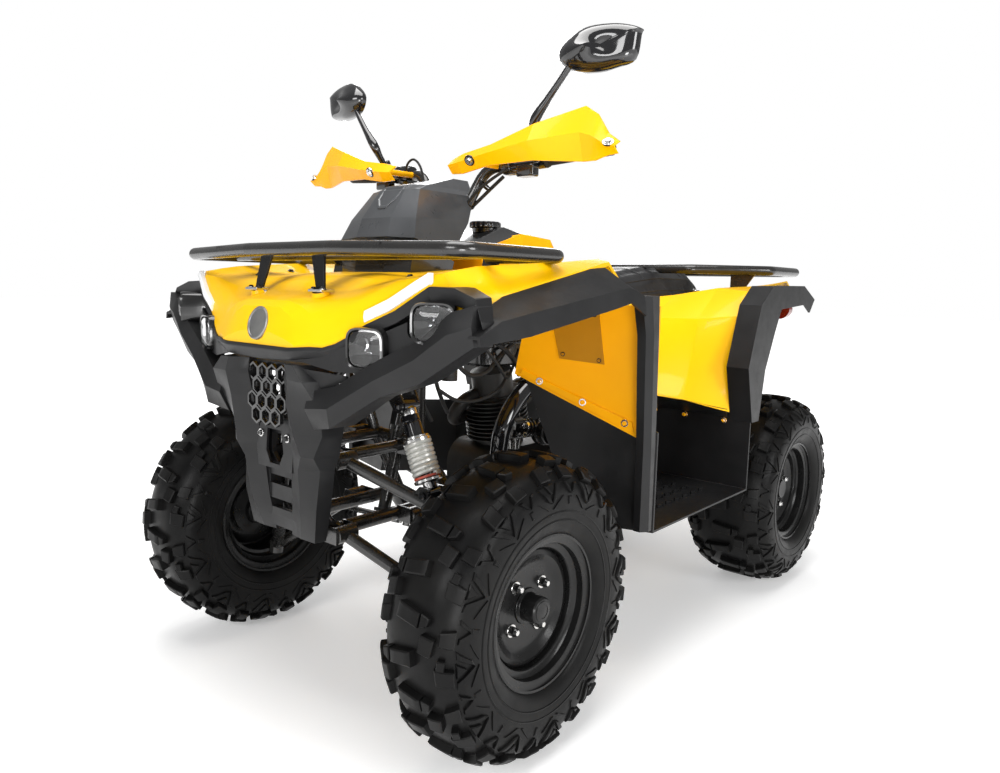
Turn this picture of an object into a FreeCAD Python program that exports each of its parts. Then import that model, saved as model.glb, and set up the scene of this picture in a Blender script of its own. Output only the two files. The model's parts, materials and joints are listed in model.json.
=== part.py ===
import FreeCAD, Part
import math
import os
from types import SimpleNamespace
from FreeCAD import Placement, Rotation, Vector

# Quad bike. Millimetres, front towards -Y, left side of the machine towards +X, ground at z = 0,
# origin on the ground in the middle of the length.

doc = FreeCAD.newDocument("quad_bike")
sheet = doc.addObject("Spreadsheet::Sheet", "Sizes")

# Driving sizes, in millimetres and degrees. Each is written once.
driving = {
    # wheels and tyres
    "wheelbase": 1200,
    "rim_lip_radius": 145,
    "bead_seat_radius": 128,
    "rim_well_radius": 108,
    "rim_wall": 5,
    "front_tyre_radius": 283,
    "front_tyre_width": 178,
    "front_rim_width": 152,
    "front_half_track": 425,
    "rear_tyre_radius": 279,
    "rear_tyre_width": 250,
    "rear_rim_width": 216,
    "rear_half_track": 402,
    "stud_circle_radius": 55,
    "stud_hole_radius": 5.5,
    "rim_bore_radius": 34,
    "lug_height": 14,
    "lug_pairs": 12,
    "front_disc_offset": 28,
    "rear_disc_offset": 52,
    # hubs, knuckles and steering arms
    "hub_flange_radius": 68,
    "hub_flange_thickness": 10,
    "hub_barrel_radius": 30,
    "dust_cap_radius": 27,
    "dust_cap_length": 42,
    "spindle_radius": 12,
    "spindle_gap": 0.5,
    "brake_disc_radius": 84,
    "brake_disc_thickness": 4,
    "brake_disc_inset": 26,
    "lower_ball_x": 350,
    "lower_ball_z": 203,
    "upper_ball_x": 325,
    "upper_ball_z": 392,
    "upper_ball_set_back": 8,
    "kingpin_radius": 14,
    "ball_radius": 15,
    "ball_gap": 0.5,
    "steering_arm_length": 85,
    "steering_arm_z": 292,
    "steering_arm_thickness": 12,
    "steering_arm_width": 22,
    "rod_eye_radius": 13,
    "rod_eye_height": 16,
    "arm_eye_height": 18,
    "tie_rod_radius": 7,
    "running_gap": 6,
    # suspension arms and shocks
    "arm_tube_radius": 13,
    "arm_pivot_front": 142,
    "arm_pivot_back": 52,
    "arm_pivot_x": 104,
    "lower_pivot_z": 372,
    "upper_pivot_z": 520,
    "arm_bush_radius": 17,
    "arm_bush_length": 44,
    "shock_foot_x": 250,
    "shock_foot_z": 462,
    "shock_head_x": 175,
    "shock_head_z": 626,
    "shock_front_y": 44,
    "shock_body_radius": 19,
    "spring_radius": 29,
    "shock_eye_radius": 15,
    "shock_eye_length": 34,
    "seat_gap": 0.3,
    # steering column and handlebar
    "column_tilt": 15.5,
    "column_foot_y": -549.5,
    "column_foot_z": 355,
    "column_radius": 14,
    "column_length": 675,
    "pitman_length": 65,
    "pitman_half_spread": 20,
    "pitman_thickness": 8,
    "bar_radius": 12.5,
    "bar_end_x": 405,
    "bar_end_rise": 128,
    "bar_end_back": 62,
    "bar_shoulder_x": 100,
    "bar_shoulder_rise": 106,
    "bar_shoulder_back": 30,
    "grip_radius": 18,
    # frame
    "frame_tube_radius": 15,
    "cross_tube_radius": 12.5,
    "frame_half_width": 122,
    "belly_z": 240,
    "upper_rail_z": 742,
    "rail_back_y": 690,
    "nose_overhang": 28,
    "nose_half_width": 70,
    "nose_top_z": 696,
    "tab_reach": 8,
    "bearing_half_width": 24,
    "bearing_gap": 0.5,
    "footrest_tube_radius": 11,
    "footrest_half_length": 120,
    "footrest_x": 430,
    "tube_bend": 50,
    "belly_plate_thickness": 4,
    # swingarm and rear axle
    "swing_pivot_y": 225,
    "swing_pivot_z": 318,
    "swing_tube_radius": 20,
    "axle_radius": 19,
    "carrier_radius": 46,
    "carrier_half_length": 46,
    "sprocket_radius": 92,
    "sprocket_x": 74,
    "sprocket_thickness": 6,
    "rear_disc_radius": 88,
    "drive_sprocket_radius": 34,
    "chain_height": 14,
    "chain_width": 15,
    # engine
    "case_half_width": 96,
    "case_length": 316,
    "case_height": 210,
    "case_front_y": -250,
    "barrel_radius": 62,
    "barrel_length": 150,
    "fin_radius": 82,
    "fin_thickness": 3,
    "fin_pitch": 11,
    "barrel_angle": 12,
    "cover_depth": 34,
    "carb_radius": 26,
    # body panels
    "hood_half_width": 500,
    "hood_length": 600,
    "hood_height": 200,
    "hood_front_y": -862,
    "hood_lip_z": 740,
    "panel_wall": 5,
    "bumper_half_width": 150,
    "bumper_height": 346,
    "bumper_depth": 100,
    "bumper_front_y": -863,
    "bumper_low_z": 369,
    "bumper_arm_x": 488,
    "bumper_arm_depth": 120,
    "bumper_arm_height": 222,
    "bumper_wall": 9,
    "hook_hole_width": 60,
    "hook_hole_height": 58,
    "hook_hole_z": 538,
    "bumper_panel_y": -812,
    "grille_half_width": 74,
    "grille_low_z": 590,
    "grille_height": 104,
    "grille_thickness": 5,
    "hexagon_radius": 17,
    "hexagon_web": 5,
    "lamp_width": 62,
    "lamp_height": 52,
    "lamp_depth": 58,
    "lamp_corner": 14,
    "inner_lamp_x": 259,
    "inner_lamp_y": -812,
    "inner_lamp_z": 753,
    "outer_lamp_x": 368,
    "outer_lamp_y": -786,
    "outer_lamp_z": 798,
    "lamp_turn": 26,
    "strip_height": 16,
    "strip_depth": 8,
    "flare_half_width": 506,
    "flare_length": 500,
    "flare_front_y": -790,
    "flare_height": 200,
    "flare_low_z": 730,
    "arch_panel_width": 310,
    "arch_panel_inner_x": 185,
    "arch_panel_front_y": -322,
    "arch_panel_depth": 92,
    "arch_panel_low_z": 545,
    "arch_panel_height": 290,
    "footwell_inner_x": 190,
    "footwell_corner_x": 332,
    "footwell_outer_x": 500,
    "footwell_back_y": 268,
    "heel_top_z": 545,
    "pod_half_width": 124,
    "pod_length": 270,
    "pod_front_y": -592,
    "pod_low_z": 954,
    "pod_height": 146,
    "pod_split_z": 962,
    "pod_split_gap": 6,
    "pod_drop": 90,
    "tank_half_width": 150,
    "tank_length": 300,
    "tank_front_y": -345,
    "tank_low_z": 860,
    "tank_height": 150,
    "cap_radius": 40,
    "cap_height": 24,
    "cap_y": -235,
    "seat_length": 860,
    "seat_front_y": -108,
    "seat_height": 178,
    "fender_half_width": 460,
    "fender_length": 860,
    "fender_front_y": -60,
    "fender_low_z": 540,
    "fender_height": 360,
    "rear_flare_length": 480,
    "rear_flare_front_y": 225,
    "rear_flare_low_z": 525,
    "rear_flare_height": 380,
    "tail_lamp_x": 395,
    "tail_lamp_y": 722,
    "tail_lamp_radius": 30,
    "tail_lamp_depth": 26,
    "tail_lamp_z": 812,
    "rack_foot_x": 101,
    "rack_foot_y": -767,
    "rack_corner": 60,
    "rack_bend": 34,
    "muffler_radius": 62,
    "muffler_length": 330,
    "pipe_radius": 17,
    "hitch_width": 90,
    "hitch_thickness": 8,
    "hitch_reach": 62,
    "hitch_hole_radius": 9.75,
    "hitch_z": 360,
    "guard_inner_x": 119,
    "guard_inner_y": -444,
    "guard_z": 1119,
    "guard_length": 354,
    "guard_height": 96,
    "guard_wall": 5,
    "mirror_width": 168,
    "mirror_height": 90,
    "mirror_depth": 40,
    "mirror_stem_radius": 7,
    "mirror_x": 392,
    "mirror_y": -338,
    "mirror_z": 1331,
    "switch_length": 52,
    "switch_radius": 24,
    "floor_z": 347,
    "seat_half_width": 150,
    "rack_tube_radius": 13.5,
    "front_rack_z": 920,
    "front_rack_half_width": 430,
    "front_rack_front_y": -790,
    "front_rack_depth": 305,
    "front_rack_kink_x": 136,
    "front_rack_brace_y": -645,
    "rear_rack_z": 925,
    "rear_rack_half_width": 400,
    "rear_rack_front_y": 430,
    "rear_rack_depth": 425,
    "slat_width": 46,
    "slat_thickness": 5,
}

# Sizes that follow from others, kept in the sheet as formulas.
derived = {
    "front_axle_y": "=-wheelbase / 2 + (front_tyre_radius - rear_tyre_radius) / 2",
    "rear_axle_y": "=wheelbase / 2 + (front_tyre_radius - rear_tyre_radius) / 2",
    "pivot_front_y": "=front_axle_y - arm_pivot_front",
    "pivot_back_y": "=front_axle_y + arm_pivot_back",
    "shock_y": "=front_axle_y - shock_front_y",
    "front_hub_x": "=front_half_track + front_disc_offset",
    "rear_hub_x": "=rear_half_track + rear_disc_offset",
}

row = 0
for name, value in list(driving.items()) + list(derived.items()):
    row += 1
    sheet.set(f"A{row}", name)
    sheet.set(f"B{row}", str(value))
    sheet.setAlias(f"B{row}", name)
doc.recompute()
s = SimpleNamespace(**{name: float(sheet.get(name)) for name in list(driving) + list(derived)})

nodes = []


def keep(label, thing):
    """List an object of the document as a finished sub-part."""
    thing.Label = label
    nodes.append(thing)
    return thing


def feature(label, shape):
    thing = doc.addObject("Part::Feature", label)
    thing.Shape = shape
    return keep(label, thing)


def mirrored(shape):
    """The same shape on the other side of the middle plane."""
    return shape.mirror(Vector(0, 0, 0), Vector(1, 0, 0))


def both_sides(shape):
    return Part.makeCompound([shape, mirrored(shape)])


def origin_part(body, role):
    return next(part for part in body.Origin.OriginFeatures if part.Role == role)


def draw_outline(body, name, role, outline, offset=0):
    """A closed sketch of straight lines on one of the body's own planes."""
    sketch = body.newObject("Sketcher::SketchObject", name)
    sketch.AttachmentSupport = [(origin_part(body, role), "")]
    sketch.MapMode = "FlatFace"
    sketch.AttachmentOffset = Placement(Vector(0, 0, offset), Rotation())
    for (u, v), (next_u, next_v) in zip(outline, outline[1:] + outline[:1]):
        sketch.addGeometry(Part.LineSegment(Vector(u, v, 0), Vector(next_u, next_v, 0)), False)
    return sketch


def turned_body(label, profile):
    """A body turned about its own X axis from a profile of (x, radius) points."""
    body = doc.addObject("PartDesign::Body", label)
    sketch = draw_outline(body, label + "_profile", "XZ_Plane", profile)
    turn = body.newObject("PartDesign::Revolution", label + "_turn")
    turn.Profile = (sketch, [""])
    turn.ReferenceAxis = (origin_part(body, "X_Axis"), [""])
    turn.Angle = 360
    return keep(label, body)


def lofted_body(label, role, stations):
    """A body lofted through closed outlines that stand on parallel planes."""
    body = doc.addObject("PartDesign::Body", label)
    sketches = [
        draw_outline(body, f"{label}_station_{number}", role, outline, offset)
        for number, (offset, outline) in enumerate(stations)
    ]
    loft = body.newObject("PartDesign::AdditiveLoft", label + "_loft")
    loft.Profile = (sketches[0], [""])
    loft.Sections = sketches[1:]
    loft.Ruled = True
    return body


def place(body, **cells):
    """Tie a body's position to cells of the sheet."""
    for axis, cell in cells.items():
        sign = "-" if cell[0] == "-" else ""
        body.setExpression(f".Placement.Base.{axis}", f"{sign}Sizes.{cell.lstrip('-')}")


def drilled_circle(body, name, radius, circle_radius, count, length):
    """A ring of holes along the body's X axis."""
    sketch = body.newObject("Sketcher::SketchObject", name + "_sketch")
    sketch.AttachmentSupport = [(origin_part(body, "YZ_Plane"), "")]
    sketch.MapMode = "FlatFace"
    sketch.addGeometry(Part.Circle(Vector(circle_radius, 0, 0), Vector(0, 0, 1), radius), False)
    pocket = body.newObject("PartDesign::Pocket", name)
    pocket.Profile = (sketch, [""])
    pocket.Length = length
    pocket.Midplane = True
    pattern = body.newObject("PartDesign::PolarPattern", name + "_ring")
    pattern.Originals = [pocket]
    pattern.Axis = (origin_part(body, "X_Axis"), [""])
    pattern.Angle = 360
    pattern.Occurrences = count
    body.Tip = pattern


def rod(start, end, radius):
    return Part.makeCylinder(radius, (end - start).Length, start, end - start)


def bend_at(before, corner, after, bend):
    """Where a bend starts and ends, its centre, its axis and its angle."""
    to_before = before - corner
    to_after = after - corner
    turn = math.pi - to_before.getAngle(to_after)
    reach = min(bend * math.tan(turn / 2), min(to_before.Length, to_after.Length) / 2 * 0.98)
    axis = to_after.cross(to_before).normalize()
    start = corner + to_before.normalize() * reach
    end = corner + to_after.normalize() * reach
    inward = (to_before + to_after).normalize()
    centre = corner + inward * (reach / math.sin(turn / 2))
    return start, end, centre, axis, math.degrees(turn)


def tube(points, radius, bend, closed=False):
    """A round bar: straight runs joined by bends of one radius, or less where a run is short."""
    count = len(points)
    bends = {}
    for index in range(0 if closed else 1, count if closed else count - 1):
        bends[index] = bend_at(points[index - 1], points[index], points[(index + 1) % count], bend)
    pieces = []
    for index in range(count if closed else count - 1):
        following = (index + 1) % count
        start = bends[index][1] if index in bends else points[index]
        end = bends[following][0] if following in bends else points[following]
        pieces.append(rod(start, end, radius))
    for index, (start, _, centre, axis, turn) in bends.items():
        ring = Part.Wire(Part.makeCircle(radius, start, points[index] - points[index - 1]))
        pieces.append(Part.Face(ring).revolve(centre, axis, turn))
    return pieces[0].fuse(pieces[1:])


def prism(outline, depth):
    """A flat face through the points, pushed along a vector."""
    return Part.Face(Part.makePolygon(outline + outline[:1])).extrude(depth)


def largest(shape):
    """The main solid of a trimmed shape."""
    return max(shape.Solids, key=lambda solid: solid.Volume)


def height_at(shape, x, y):
    """The height of a shape's top over a point of the ground."""
    box = shape.BoundBox
    line = Part.makeLine(Vector(x, y, box.ZMin - box.ZLength), Vector(x, y, box.ZMax + box.ZLength))
    return shape.common(line).BoundBox.ZMax


def loft(outlines):
    wires = [Part.makePolygon(outline + outline[:1]) for outline in outlines]
    return Part.makeLoft(wires, True, True)


def centred_box(middle, length_x, length_y, length_z):
    corner = middle - Vector(length_x, length_y, length_z) / 2
    return Part.makeBox(length_x, length_y, length_z, corner)


def mirrored_edge(edge):
    """A half edge that starts on the middle plane, made whole."""
    left = [(-u, v) for u, v in edge[:0:-1]]
    return left + edge


# Wheels. A tyre's profile is half a section, from the middle of the tread to the bead.
tyre_half_shares = [(0.0, 1.0), (0.50, 0.985), (0.84, 0.92), (0.985, 0.82), (1.0, 0.70), (0.93, 0.58)]

# Tread: where round the repeat the lug stands, (across, along) shares of the half width
# for its outline, and the share of the radius that its top has at the inner and outer end.
lug_shares = [
    (0.00, [(-.70, -.34), (.02, -.10), (.10, .10), (-.62, .02)], (0.975, 1.0)),
    (0.00, [(.72, -.26), (.99, -.32), (.99, -.08), (.70, .02)], (0.945, 0.86)),
    (0.25, [(.30, -.14), (.52, -.16), (.56, .08), (.32, .12)], (1.0, 0.985)),
    (0.25, [(-.99, -.10), (-.72, -.16), (-.70, .12), (-.99, .16)], (0.86, 0.945)),
    (0.50, [(-.10, .10), (-.02, -.10), (.70, -.34), (.62, .02)], (1.0, 0.975)),
    (0.50, [(-.99, -.32), (-.72, -.26), (-.70, .02), (-.99, -.08)], (0.86, 0.945)),
    (0.75, [(-.52, -.16), (-.30, -.14), (-.32, .12), (-.56, .08)], (0.985, 1.0)),
    (0.75, [(.72, -.16), (.99, -.10), (.99, .16), (.70, .12)], (0.945, 0.86)),
]


def tyre_profile(width, radius, rim_width):
    crown = radius - s.lug_height
    half = [(width / 2 * across, crown * out) for across, out in tyre_half_shares]
    over_lip = s.rim_lip_radius + s.rim_wall
    half += [(rim_width / 2, over_lip), (rim_width / 2 - s.rim_wall * 1.1, over_lip),
             (rim_width / 2 - s.rim_wall * 1.7, s.bead_seat_radius)]
    return [(-across, out) for across, out in half[:0:-1]] + half


def rim_profile(width, disc_offset):
    """Lips, bead seats and drop well round a flat disc, as one closed section."""
    half = width / 2
    lip = s.rim_lip_radius
    seat = s.bead_seat_radius
    well = s.rim_well_radius
    wall = s.rim_wall
    outer = [
        (-half, lip), (-half + wall, lip), (-half + wall * 1.6, seat), (-half * 0.6, seat),
        (-half * 0.5, well), (half * 0.5, well), (half * 0.6, seat),
        (half - wall * 1.6, seat), (half - wall, lip), (half, lip),
    ]
    inner = [
        (half, lip - wall), (half - wall * 1.2, seat - wall), (half * 0.62, seat - wall),
        (half * 0.52, well - wall), (disc_offset + wall / 2, well - wall),
        (disc_offset + wall / 2, s.rim_bore_radius), (disc_offset - wall / 2, s.rim_bore_radius),
        (disc_offset - wall / 2, well - wall), (-half * 0.52, well - wall),
        (-half * 0.62, seat - wall), (-half + wall * 1.2, seat - wall), (-half, lip - wall),
    ]
    return outer + inner


def tread_lug(outline, tops, half, radius):
    """One lug at the top of a tyre that stands on its own middle."""
    spots = [Vector(across * half, along * half, 0) for across, along in outline]
    first = min(spot.x for spot in spots)
    reach = max(spot.x for spot in spots) - first
    top = []
    root = []
    for spot in spots:
        share = (spot.x - first) / reach
        height = radius * (tops[0] + (tops[1] - tops[0]) * share)
        top.append(Vector(spot.x, spot.y, height))
        root.append(Vector(spot.x, spot.y, height - s.lug_height * 1.9))
    return loft([root, top])


def tyre_lugs(width, radius):
    """All lugs round a tyre, each turned to its place about the axle."""
    step = 360 / s.lug_pairs
    lugs = []
    for place_share, outline, tops in lug_shares:
        lug = tread_lug(outline, tops, width / 2, radius)
        for turn in range(int(s.lug_pairs)):
            spot = lug.copy()
            spot.rotate(Vector(0, 0, 0), Vector(1, 0, 0), (turn + place_share) * step)
            lugs.append(spot)
    return lugs


def wheel(side, end, width, radius, rim_width, disc_offset, track_cell, axle_cell, radius_cell):
    sign = 1 if side == "left" else -1
    carcass = turned_body(f"{end}_carcass_{side}", tyre_profile(width, radius, rim_width))
    nodes.pop()
    doc.recompute()
    tyre = feature(f"{end}_tyre_{side}", carcass.Shape.fuse(tyre_lugs(width, radius)))
    profile = rim_profile(rim_width, disc_offset)
    profile = [(sign * across, out) for across, out in profile]
    rim = turned_body(f"{end}_rim_{side}", profile)
    doc.recompute()
    drilled_circle(rim, f"{end}_studs_{side}", s.stud_hole_radius, s.stud_circle_radius, 4, rim_width)
    for body in (tyre, rim):
        place(body, x=track_cell if sign > 0 else "-" + track_cell, y=axle_cell, z=radius_cell)


for side in ("left", "right"):
    wheel(side, "front", s.front_tyre_width, s.front_tyre_radius, s.front_rim_width,
          s.front_disc_offset, "front_half_track", "front_axle_y", "front_tyre_radius")
    wheel(side, "rear", s.rear_tyre_width, s.rear_tyre_radius, s.rear_rim_width,
          s.rear_disc_offset, "rear_half_track", "rear_axle_y", "rear_tyre_radius")

# Front hubs: flange, barrel and dust cap with the brake disc on the inner end.

front_centre = Vector(s.front_hub_x, s.front_axle_y, s.front_tyre_radius)
inward = Vector(-1, 0, 0)


def front_hub_shape():
    disc_face = front_centre + inward * (s.rim_wall / 2)
    flange_back = disc_face + inward * s.hub_flange_thickness
    disc_back = flange_back + inward * s.brake_disc_inset
    flange = rod(flange_back, disc_face, s.hub_flange_radius)
    barrel = rod(disc_back, disc_face, s.hub_barrel_radius)
    disc = rod(disc_back, disc_back - inward * s.brake_disc_thickness, s.brake_disc_radius)
    cap = rod(disc_face, disc_face - inward * s.dust_cap_length, s.dust_cap_radius)
    hub = flange.fuse([barrel, disc, cap])
    bore_end = disc_back - inward * (s.brake_disc_inset + s.hub_flange_thickness)
    bore = rod(disc_back + inward, bore_end, s.spindle_radius + s.spindle_gap)
    return hub.cut(bore).removeSplitter()


hub = front_hub_shape()
feature("front_hub_left", hub)
feature("front_hub_right", mirrored(hub))

# Knuckles: an inclined post between two ball studs, the spindle, and an arm for the tie rod.

lower_ball = Vector(s.lower_ball_x, s.front_axle_y, s.lower_ball_z)
upper_ball = Vector(s.upper_ball_x, s.front_axle_y + s.upper_ball_set_back, s.upper_ball_z)
kingpin = (upper_ball - lower_ball).normalize()


def on_kingpin(height):
    """The point of the steering axis at a height above the ground."""
    return lower_ball + kingpin * ((height - lower_ball.z) / kingpin.z)


arm_eye = on_kingpin(s.steering_arm_z) + Vector(-s.pitman_half_spread, s.steering_arm_length, 0)


def knuckle_shape():
    reach = s.ball_radius + s.ball_gap
    post = rod(lower_ball + kingpin * reach * 2, upper_ball - kingpin * reach, s.kingpin_radius)
    stud = rod(lower_ball + kingpin * reach, upper_ball - kingpin * reach, s.kingpin_radius * 0.4)
    root = on_kingpin(s.front_tyre_radius)
    root.y = s.front_axle_y
    disc_back = front_centre + inward * (s.rim_wall / 2 + s.hub_flange_thickness + s.brake_disc_inset)
    shoulder = disc_back + inward * s.running_gap
    boss = rod(root, shoulder, s.hub_barrel_radius)
    spindle = rod(root, disc_back + Vector(s.brake_disc_inset, 0, 0), s.spindle_radius)
    arm_root = on_kingpin(s.steering_arm_z)
    half = s.steering_arm_width / 2
    base = Vector(0, 0, -s.steering_arm_thickness / 2)
    outline = [arm_root + Vector(-half, 0, 0), arm_root + Vector(half, 0, 0),
               arm_eye + Vector(half, 0, 0), arm_eye + Vector(-half, 0, 0)]
    arm = prism([point + base for point in outline], Vector(0, 0, s.steering_arm_thickness))
    eye_half = kingpin * (s.arm_eye_height / 2)
    eye = rod(arm_eye - eye_half, arm_eye + eye_half, s.rod_eye_radius)
    return post.fuse([stud, boss, spindle, arm, eye]).removeSplitter()


knuckle = knuckle_shape()
feature("knuckle_left", knuckle)
feature("knuckle_right", mirrored(knuckle))

# Suspension arms: two tubes from the frame to a ball joint, with bushes on the frame's pivots.


def wishbone(ball, pivot_z):
    bushes = []
    tubes = []
    for pivot_y in (s.pivot_front_y, s.pivot_back_y):
        pivot = Vector(s.arm_pivot_x, pivot_y, pivot_z)
        half = Vector(0, s.arm_bush_length / 2, 0)
        bushes.append(rod(pivot - half, pivot + half, s.arm_bush_radius))
        inward = (pivot - ball).normalize()
        tubes.append(rod(pivot, ball + inward * s.arm_tube_radius * 1.5, s.arm_tube_radius))
    ball_end = rod(ball - kingpin * s.ball_radius, ball + kingpin * s.ball_radius, s.ball_radius + 3)
    return tubes[0].fuse([tubes[1], ball_end] + bushes)


lower_arm = wishbone(lower_ball, s.lower_pivot_z)
upper_arm = wishbone(upper_ball, s.upper_pivot_z)

shock_foot = Vector(s.shock_foot_x, s.shock_y, s.shock_foot_z)
shock_head = Vector(s.shock_head_x, s.shock_y, s.shock_head_z)
eye_half = Vector(0, s.shock_eye_length / 2, 0)


def shock_shape(foot, head):
    """A damper with an eye at each end and the envelope of its coil spring."""
    along = (head - foot).normalize()
    length = (head - foot).Length
    foot_eye = rod(foot - eye_half, foot + eye_half, s.shock_eye_radius)
    head_eye = rod(head - eye_half, head + eye_half, s.shock_eye_radius)
    shaft = rod(foot, head, s.shock_eye_radius * 0.6)
    spring = rod(foot + along * (length * 0.13), foot + along * (length * 0.58), s.spring_radius)
    damper = rod(foot + along * (length * 0.56), foot + along * (length * 0.9), s.shock_body_radius)
    return shaft.fuse([foot_eye, head_eye, spring, damper])


shock = shock_shape(shock_foot, shock_head)
mount_plate = s.belly_plate_thickness


def leg_point(depth):
    """The point of the upper arm's front tube at a depth along the machine."""
    leg = Vector(s.arm_pivot_x, s.pivot_front_y, s.upper_pivot_z) - upper_ball
    return upper_ball + leg * ((depth - upper_ball.y) / leg.y)


def foot_lug(sign):
    """One of the two plates that hold the shock's lower eye."""
    near = Vector(0, sign * (s.shock_eye_length / 2 + s.seat_gap), 0)
    across = Vector(s.shock_eye_radius, 0, 0)
    top = shock_foot + near + Vector(0, 0, s.shock_eye_radius)
    foot = leg_point(top.y)
    outline = [top - across, top + across, foot + across, foot - across]
    return prism(outline, Vector(0, sign * mount_plate, 0))


upper_arm = upper_arm.fuse([foot_lug(-1), foot_lug(1)]).cut(shock)
feature("upper_arms", both_sides(upper_arm))
feature("lower_arms", both_sides(lower_arm))
feature("front_shocks", both_sides(shock))

# Tie rods, from the knuckle's arm to just under the pitman plate.

tilt = math.radians(s.column_tilt)
column_axis = Vector(0, math.sin(tilt), math.cos(tilt))
column_foot = Vector(0, s.column_foot_y, s.column_foot_z)
column_across = Vector(0, math.cos(tilt), -math.sin(tilt))
pitman_pin = column_foot + Vector(s.pitman_half_spread, 0, 0) + column_across * s.pitman_length
rod_gap = s.arm_eye_height / 2 + s.spindle_gap + s.rod_eye_height / 2
outer_eye = arm_eye + kingpin * rod_gap
inner_drop = s.pitman_thickness / 2 + s.running_gap + s.rod_eye_height / 2
inner_eye = pitman_pin - column_axis * inner_drop


def tie_rod_shape():
    ends = []
    for eye, axis in ((outer_eye, kingpin), (inner_eye, column_axis)):
        half = axis * (s.rod_eye_height / 2)
        ends.append(rod(eye - half, eye + half, s.rod_eye_radius))
    return rod(outer_eye, inner_eye, s.tie_rod_radius).fuse(ends)


tie_rod = tie_rod_shape()
feature("tie_rod_left", tie_rod)
feature("tie_rod_right", mirrored(tie_rod))

# Steering column with the pitman plate at its foot and the bar clamp at its head.

column_head = column_foot + column_axis * s.column_length


def column_shape():
    shaft = rod(column_foot - column_axis * s.pitman_thickness, column_head, s.column_radius)
    half = column_axis * (s.pitman_thickness / 2)
    width = s.pitman_half_spread + s.rod_eye_radius
    corner = column_foot - half
    side_step = Vector(width, 0, 0)
    tail = column_across * (s.pitman_length + s.rod_eye_radius)
    outline = [corner - side_step, corner + side_step, corner + side_step + tail, corner - side_step + tail]
    plate = prism(outline, half * 2)
    clamp_half = Vector(s.pitman_half_spread * 2.2, 0, 0)
    head = column_head + column_axis * s.bar_radius
    clamp = rod(head - clamp_half, head + clamp_half, s.bar_radius * 2)
    return shaft.fuse([plate, clamp])


bar_centre = column_head + column_axis * s.bar_radius
bar_shoulder = bar_centre + Vector(s.bar_shoulder_x, s.bar_shoulder_back, s.bar_shoulder_rise)
bar_end = bar_centre + Vector(s.bar_end_x, s.bar_end_back, s.bar_end_rise)
bar_points = [bar_centre + Vector(s.pitman_half_spread * 2.6, 0, 0), bar_shoulder, bar_end]
left_half = [bar_centre] + bar_points
right_half = [Vector(-point.x, point.y, point.z) for point in left_half[:0:-1]]
handlebar = tube(right_half + left_half[1:], s.bar_radius, s.tube_bend)
column = column_shape().cut(handlebar)
feature("steering_column", column)
feature("handlebar", handlebar)

grip_start = bar_shoulder + (bar_end - bar_shoulder) * 0.52
grip_tip = bar_end + (bar_end - bar_shoulder).normalize() * mount_plate
grip = rod(grip_start, grip_tip, s.grip_radius).cut(handlebar)
feature("grips", both_sides(grip))

# Rear axle in its carrier, the swingarm, the chain and the rear shock.

axle_centre = Vector(0, s.rear_axle_y, s.rear_tyre_radius)
side_x = Vector(1, 0, 0)


def rear_axle_shape():
    flange_face = s.rear_hub_x - s.rim_wall / 2
    shaft = rod(axle_centre - side_x * flange_face, axle_centre + side_x * flange_face, s.axle_radius)
    parts = []
    for sign in (-1, 1):
        face = axle_centre + side_x * (sign * flange_face)
        outward = side_x * sign
        parts.append(rod(face - outward * s.hub_flange_thickness, face, s.hub_flange_radius))
        parts.append(rod(face - outward * s.hub_barrel_radius * 2, face, s.hub_barrel_radius))
        parts.append(rod(face, face + outward * s.dust_cap_length * 0.6, s.dust_cap_radius))
    sprocket = axle_centre + side_x * s.sprocket_x
    half = side_x * (s.sprocket_thickness / 2)
    parts.append(rod(sprocket - half, sprocket + half, s.sprocket_radius))
    parts.append(rod(sprocket - half, sprocket + half * 8, s.hub_barrel_radius))
    disc = axle_centre - side_x * s.sprocket_x
    half_disc = side_x * (s.brake_disc_thickness / 2)
    parts.append(rod(disc - half_disc, disc + half_disc, s.rear_disc_radius))
    parts.append(rod(disc + half_disc, disc - half_disc * 12, s.hub_barrel_radius))
    return shaft.fuse(parts)


feature("rear_axle", rear_axle_shape())

swing_pivot = Vector(0, s.swing_pivot_y, s.swing_pivot_z)
swing_top = axle_centre + (swing_pivot - axle_centre) * 0.32 + Vector(0, 0, s.carrier_radius * 1.5)
rear_shock_head = Vector(0, s.swing_pivot_y + s.carrier_radius * 2.4, s.upper_rail_z - s.carrier_radius)


def swingarm_shape():
    half = side_x * s.carrier_half_length
    carrier = rod(axle_centre - half, axle_centre + half, s.carrier_radius)
    pivot = rod(swing_pivot - half * 1.5, swing_pivot + half * 1.5, s.swing_tube_radius)
    arms = []
    for sign in (-1, 1):
        step = side_x * (sign * s.carrier_half_length * 0.6)
        arms.append(rod(swing_pivot + step, axle_centre + step, s.swing_tube_radius))
        lug_x = s.shock_eye_length / 2 + s.seat_gap
        outline = [swing_top + Vector(sign * lug_x, -s.shock_eye_radius, s.shock_eye_radius),
                   swing_top + Vector(sign * lug_x, s.shock_eye_radius, s.shock_eye_radius)]
        base = axle_centre + (swing_pivot - axle_centre) * 0.32 + Vector(sign * lug_x, 0, 0)
        outline += [base + Vector(0, s.carrier_radius * 0.6, 0), base - Vector(0, s.carrier_radius * 0.6, 0)]
        arms.append(prism(outline, side_x * (sign * mount_plate)))
    bore = rod(axle_centre - side_x * s.rear_half_track, axle_centre + side_x * s.rear_half_track,
               s.axle_radius + s.spindle_gap)
    return carrier.fuse([pivot] + arms).cut(bore)


eye_half = Vector(s.shock_eye_length / 2, 0, 0)
rear_shock = shock_shape(swing_top, rear_shock_head)
feature("swingarm", swingarm_shape().cut(rear_shock))
feature("rear_shock", rear_shock)

# Engine: crankcase, finned barrel leaning forward, head, covers, carburettor and intake.

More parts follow.
